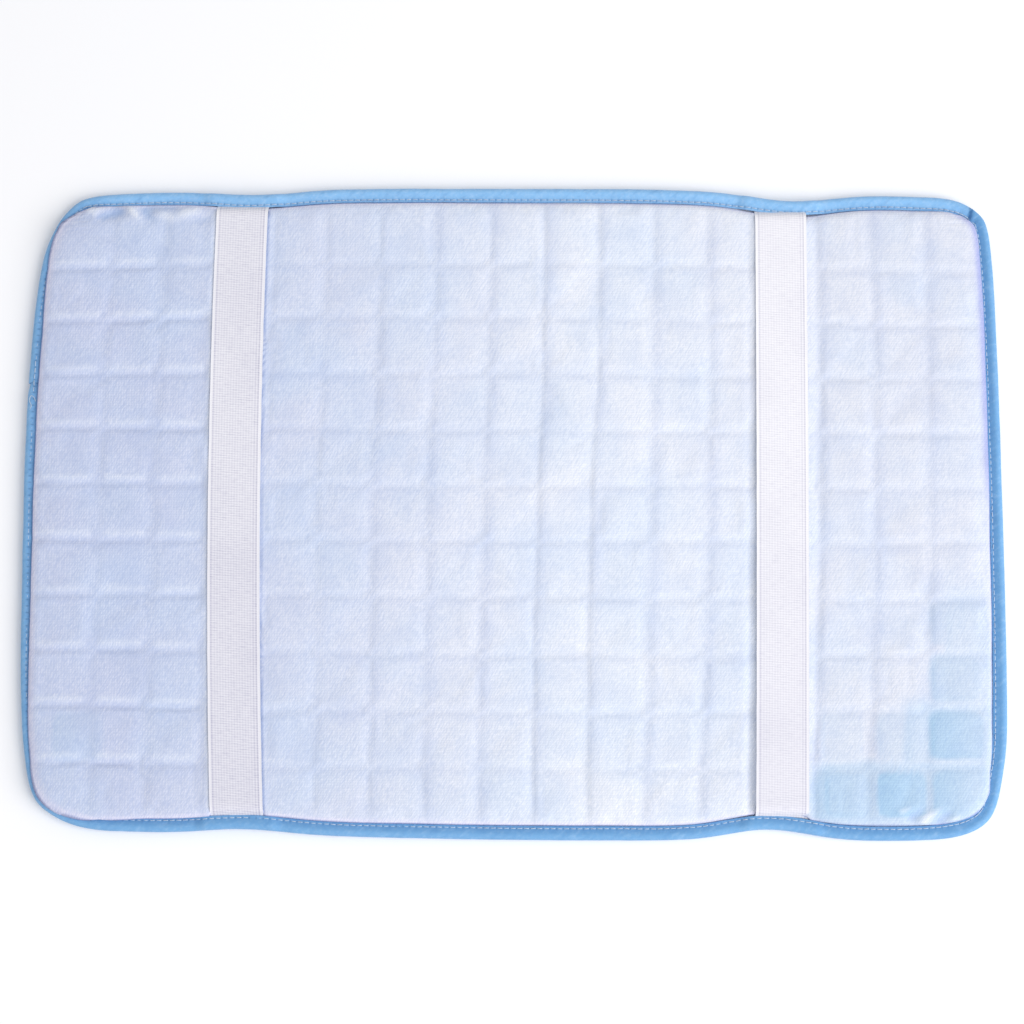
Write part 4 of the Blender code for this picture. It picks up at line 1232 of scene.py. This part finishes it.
gel = make_gel(blue_gel)
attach(gel, "mat")
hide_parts(*[f"gel_row_{row:02d}" for row in range(1, ROWS + 1)])
for name, upper, node in (
    ("gel_pack_upper_film", True, "gel_pack_back_film"),
    ("gel_pack_lower_film", False, "gel_pack_front_film"),
):
    film = make_film(name, upper, clear_film)
    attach(film, "mat")
    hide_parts(node)


def make_stage():
    """A pale table top under the mat, larger than the view."""
    material, _, _ = start_material("pale_table_top", {"Base Color": linear("#fbfbfd"), "Roughness": 0.9})
    sheet = bmesh.new()
    bmesh.ops.create_grid(sheet, x_segments=2, y_segments=2, size=0.9)
    table = mesh_object("table_top", sheet, material)
    table.data.transform(Matrix.Translation((0, 0, -0.0002)))


def make_background(strength):
    """White behind everything that the camera sees, and an even pale light from all round on the rest."""
    world = bpy.data.worlds.new("white_surround")
    bpy.context.scene.world = world
    world.use_nodes = True
    tree = world.node_tree
    tree.nodes.clear()
    rays = add_node(tree, "ShaderNodeLightPath", {}).node.outputs
    seen = add_node(tree, "ShaderNodeMath", {
        "operation": "MAXIMUM", 0: rays["Is Camera Ray"], 1: rays["Is Transmission Ray"],
    })
    light = add_node(tree, "ShaderNodeBackground", {"Color": (0.97, 0.98, 1.0, 1), "Strength": strength})
    white = add_node(tree, "ShaderNodeBackground", {"Color": (1, 1, 1, 1), "Strength": 1.0})
    both = add_node(tree, "ShaderNodeMixShader", {0: seen, 1: light, 2: white})
    tree.links.new(both, tree.nodes.new("ShaderNodeOutputWorld").inputs["Surface"])


def make_lamp(name, place, target, size, power, colour):
    """A square soft lamp that points at the target."""
    lamp = bpy.data.lights.new(name, "AREA")
    lamp.shape = "SQUARE"
    lamp.size = size
    lamp.energy = power
    lamp.color = colour
    obj = bpy.data.objects.new(name, lamp)
    bpy.context.scene.collection.objects.link(obj)
    obj.location = place
    obj.rotation_euler = (Vector(target) - Vector(place)).to_track_quat("-Z", "Y").to_euler()


CAMERA_TILT = math.radians(9)
CAMERA_DISTANCE = 1.2045
CAMERA_TARGET = Vector((-0.00045, -0.0017, 0.004))


def make_camera():
    """The camera at the photograph's angle: nearly straight down, tilted a little towards the near edge."""
    camera = bpy.data.cameras.new("photo_camera")
    camera.lens = 92.5
    camera.sensor_width = 36
    camera.dof.use_dof = False
    camera.clip_start, camera.clip_end = 0.05, 20
    obj = bpy.data.objects.new("photo_camera", camera)
    bpy.context.scene.collection.objects.link(obj)
    away = Vector((0, -math.sin(CAMERA_TILT), math.cos(CAMERA_TILT)))
    obj.location = CAMERA_TARGET + CAMERA_DISTANCE * away
    obj.rotation_euler = (CAMERA_TILT, 0, 0)
    bpy.context.scene.camera = obj


make_stage()
make_background(0.645)
make_lamp("soft_lamp_right", (1.45, -0.74, 1.45), (0.03, 0, 0), 2.0, 42.6, (1.0, 0.99, 0.985))
make_camera()
bpy.context.scene.view_settings.view_transform = "Standard"

bpy.context.view_layer.update()
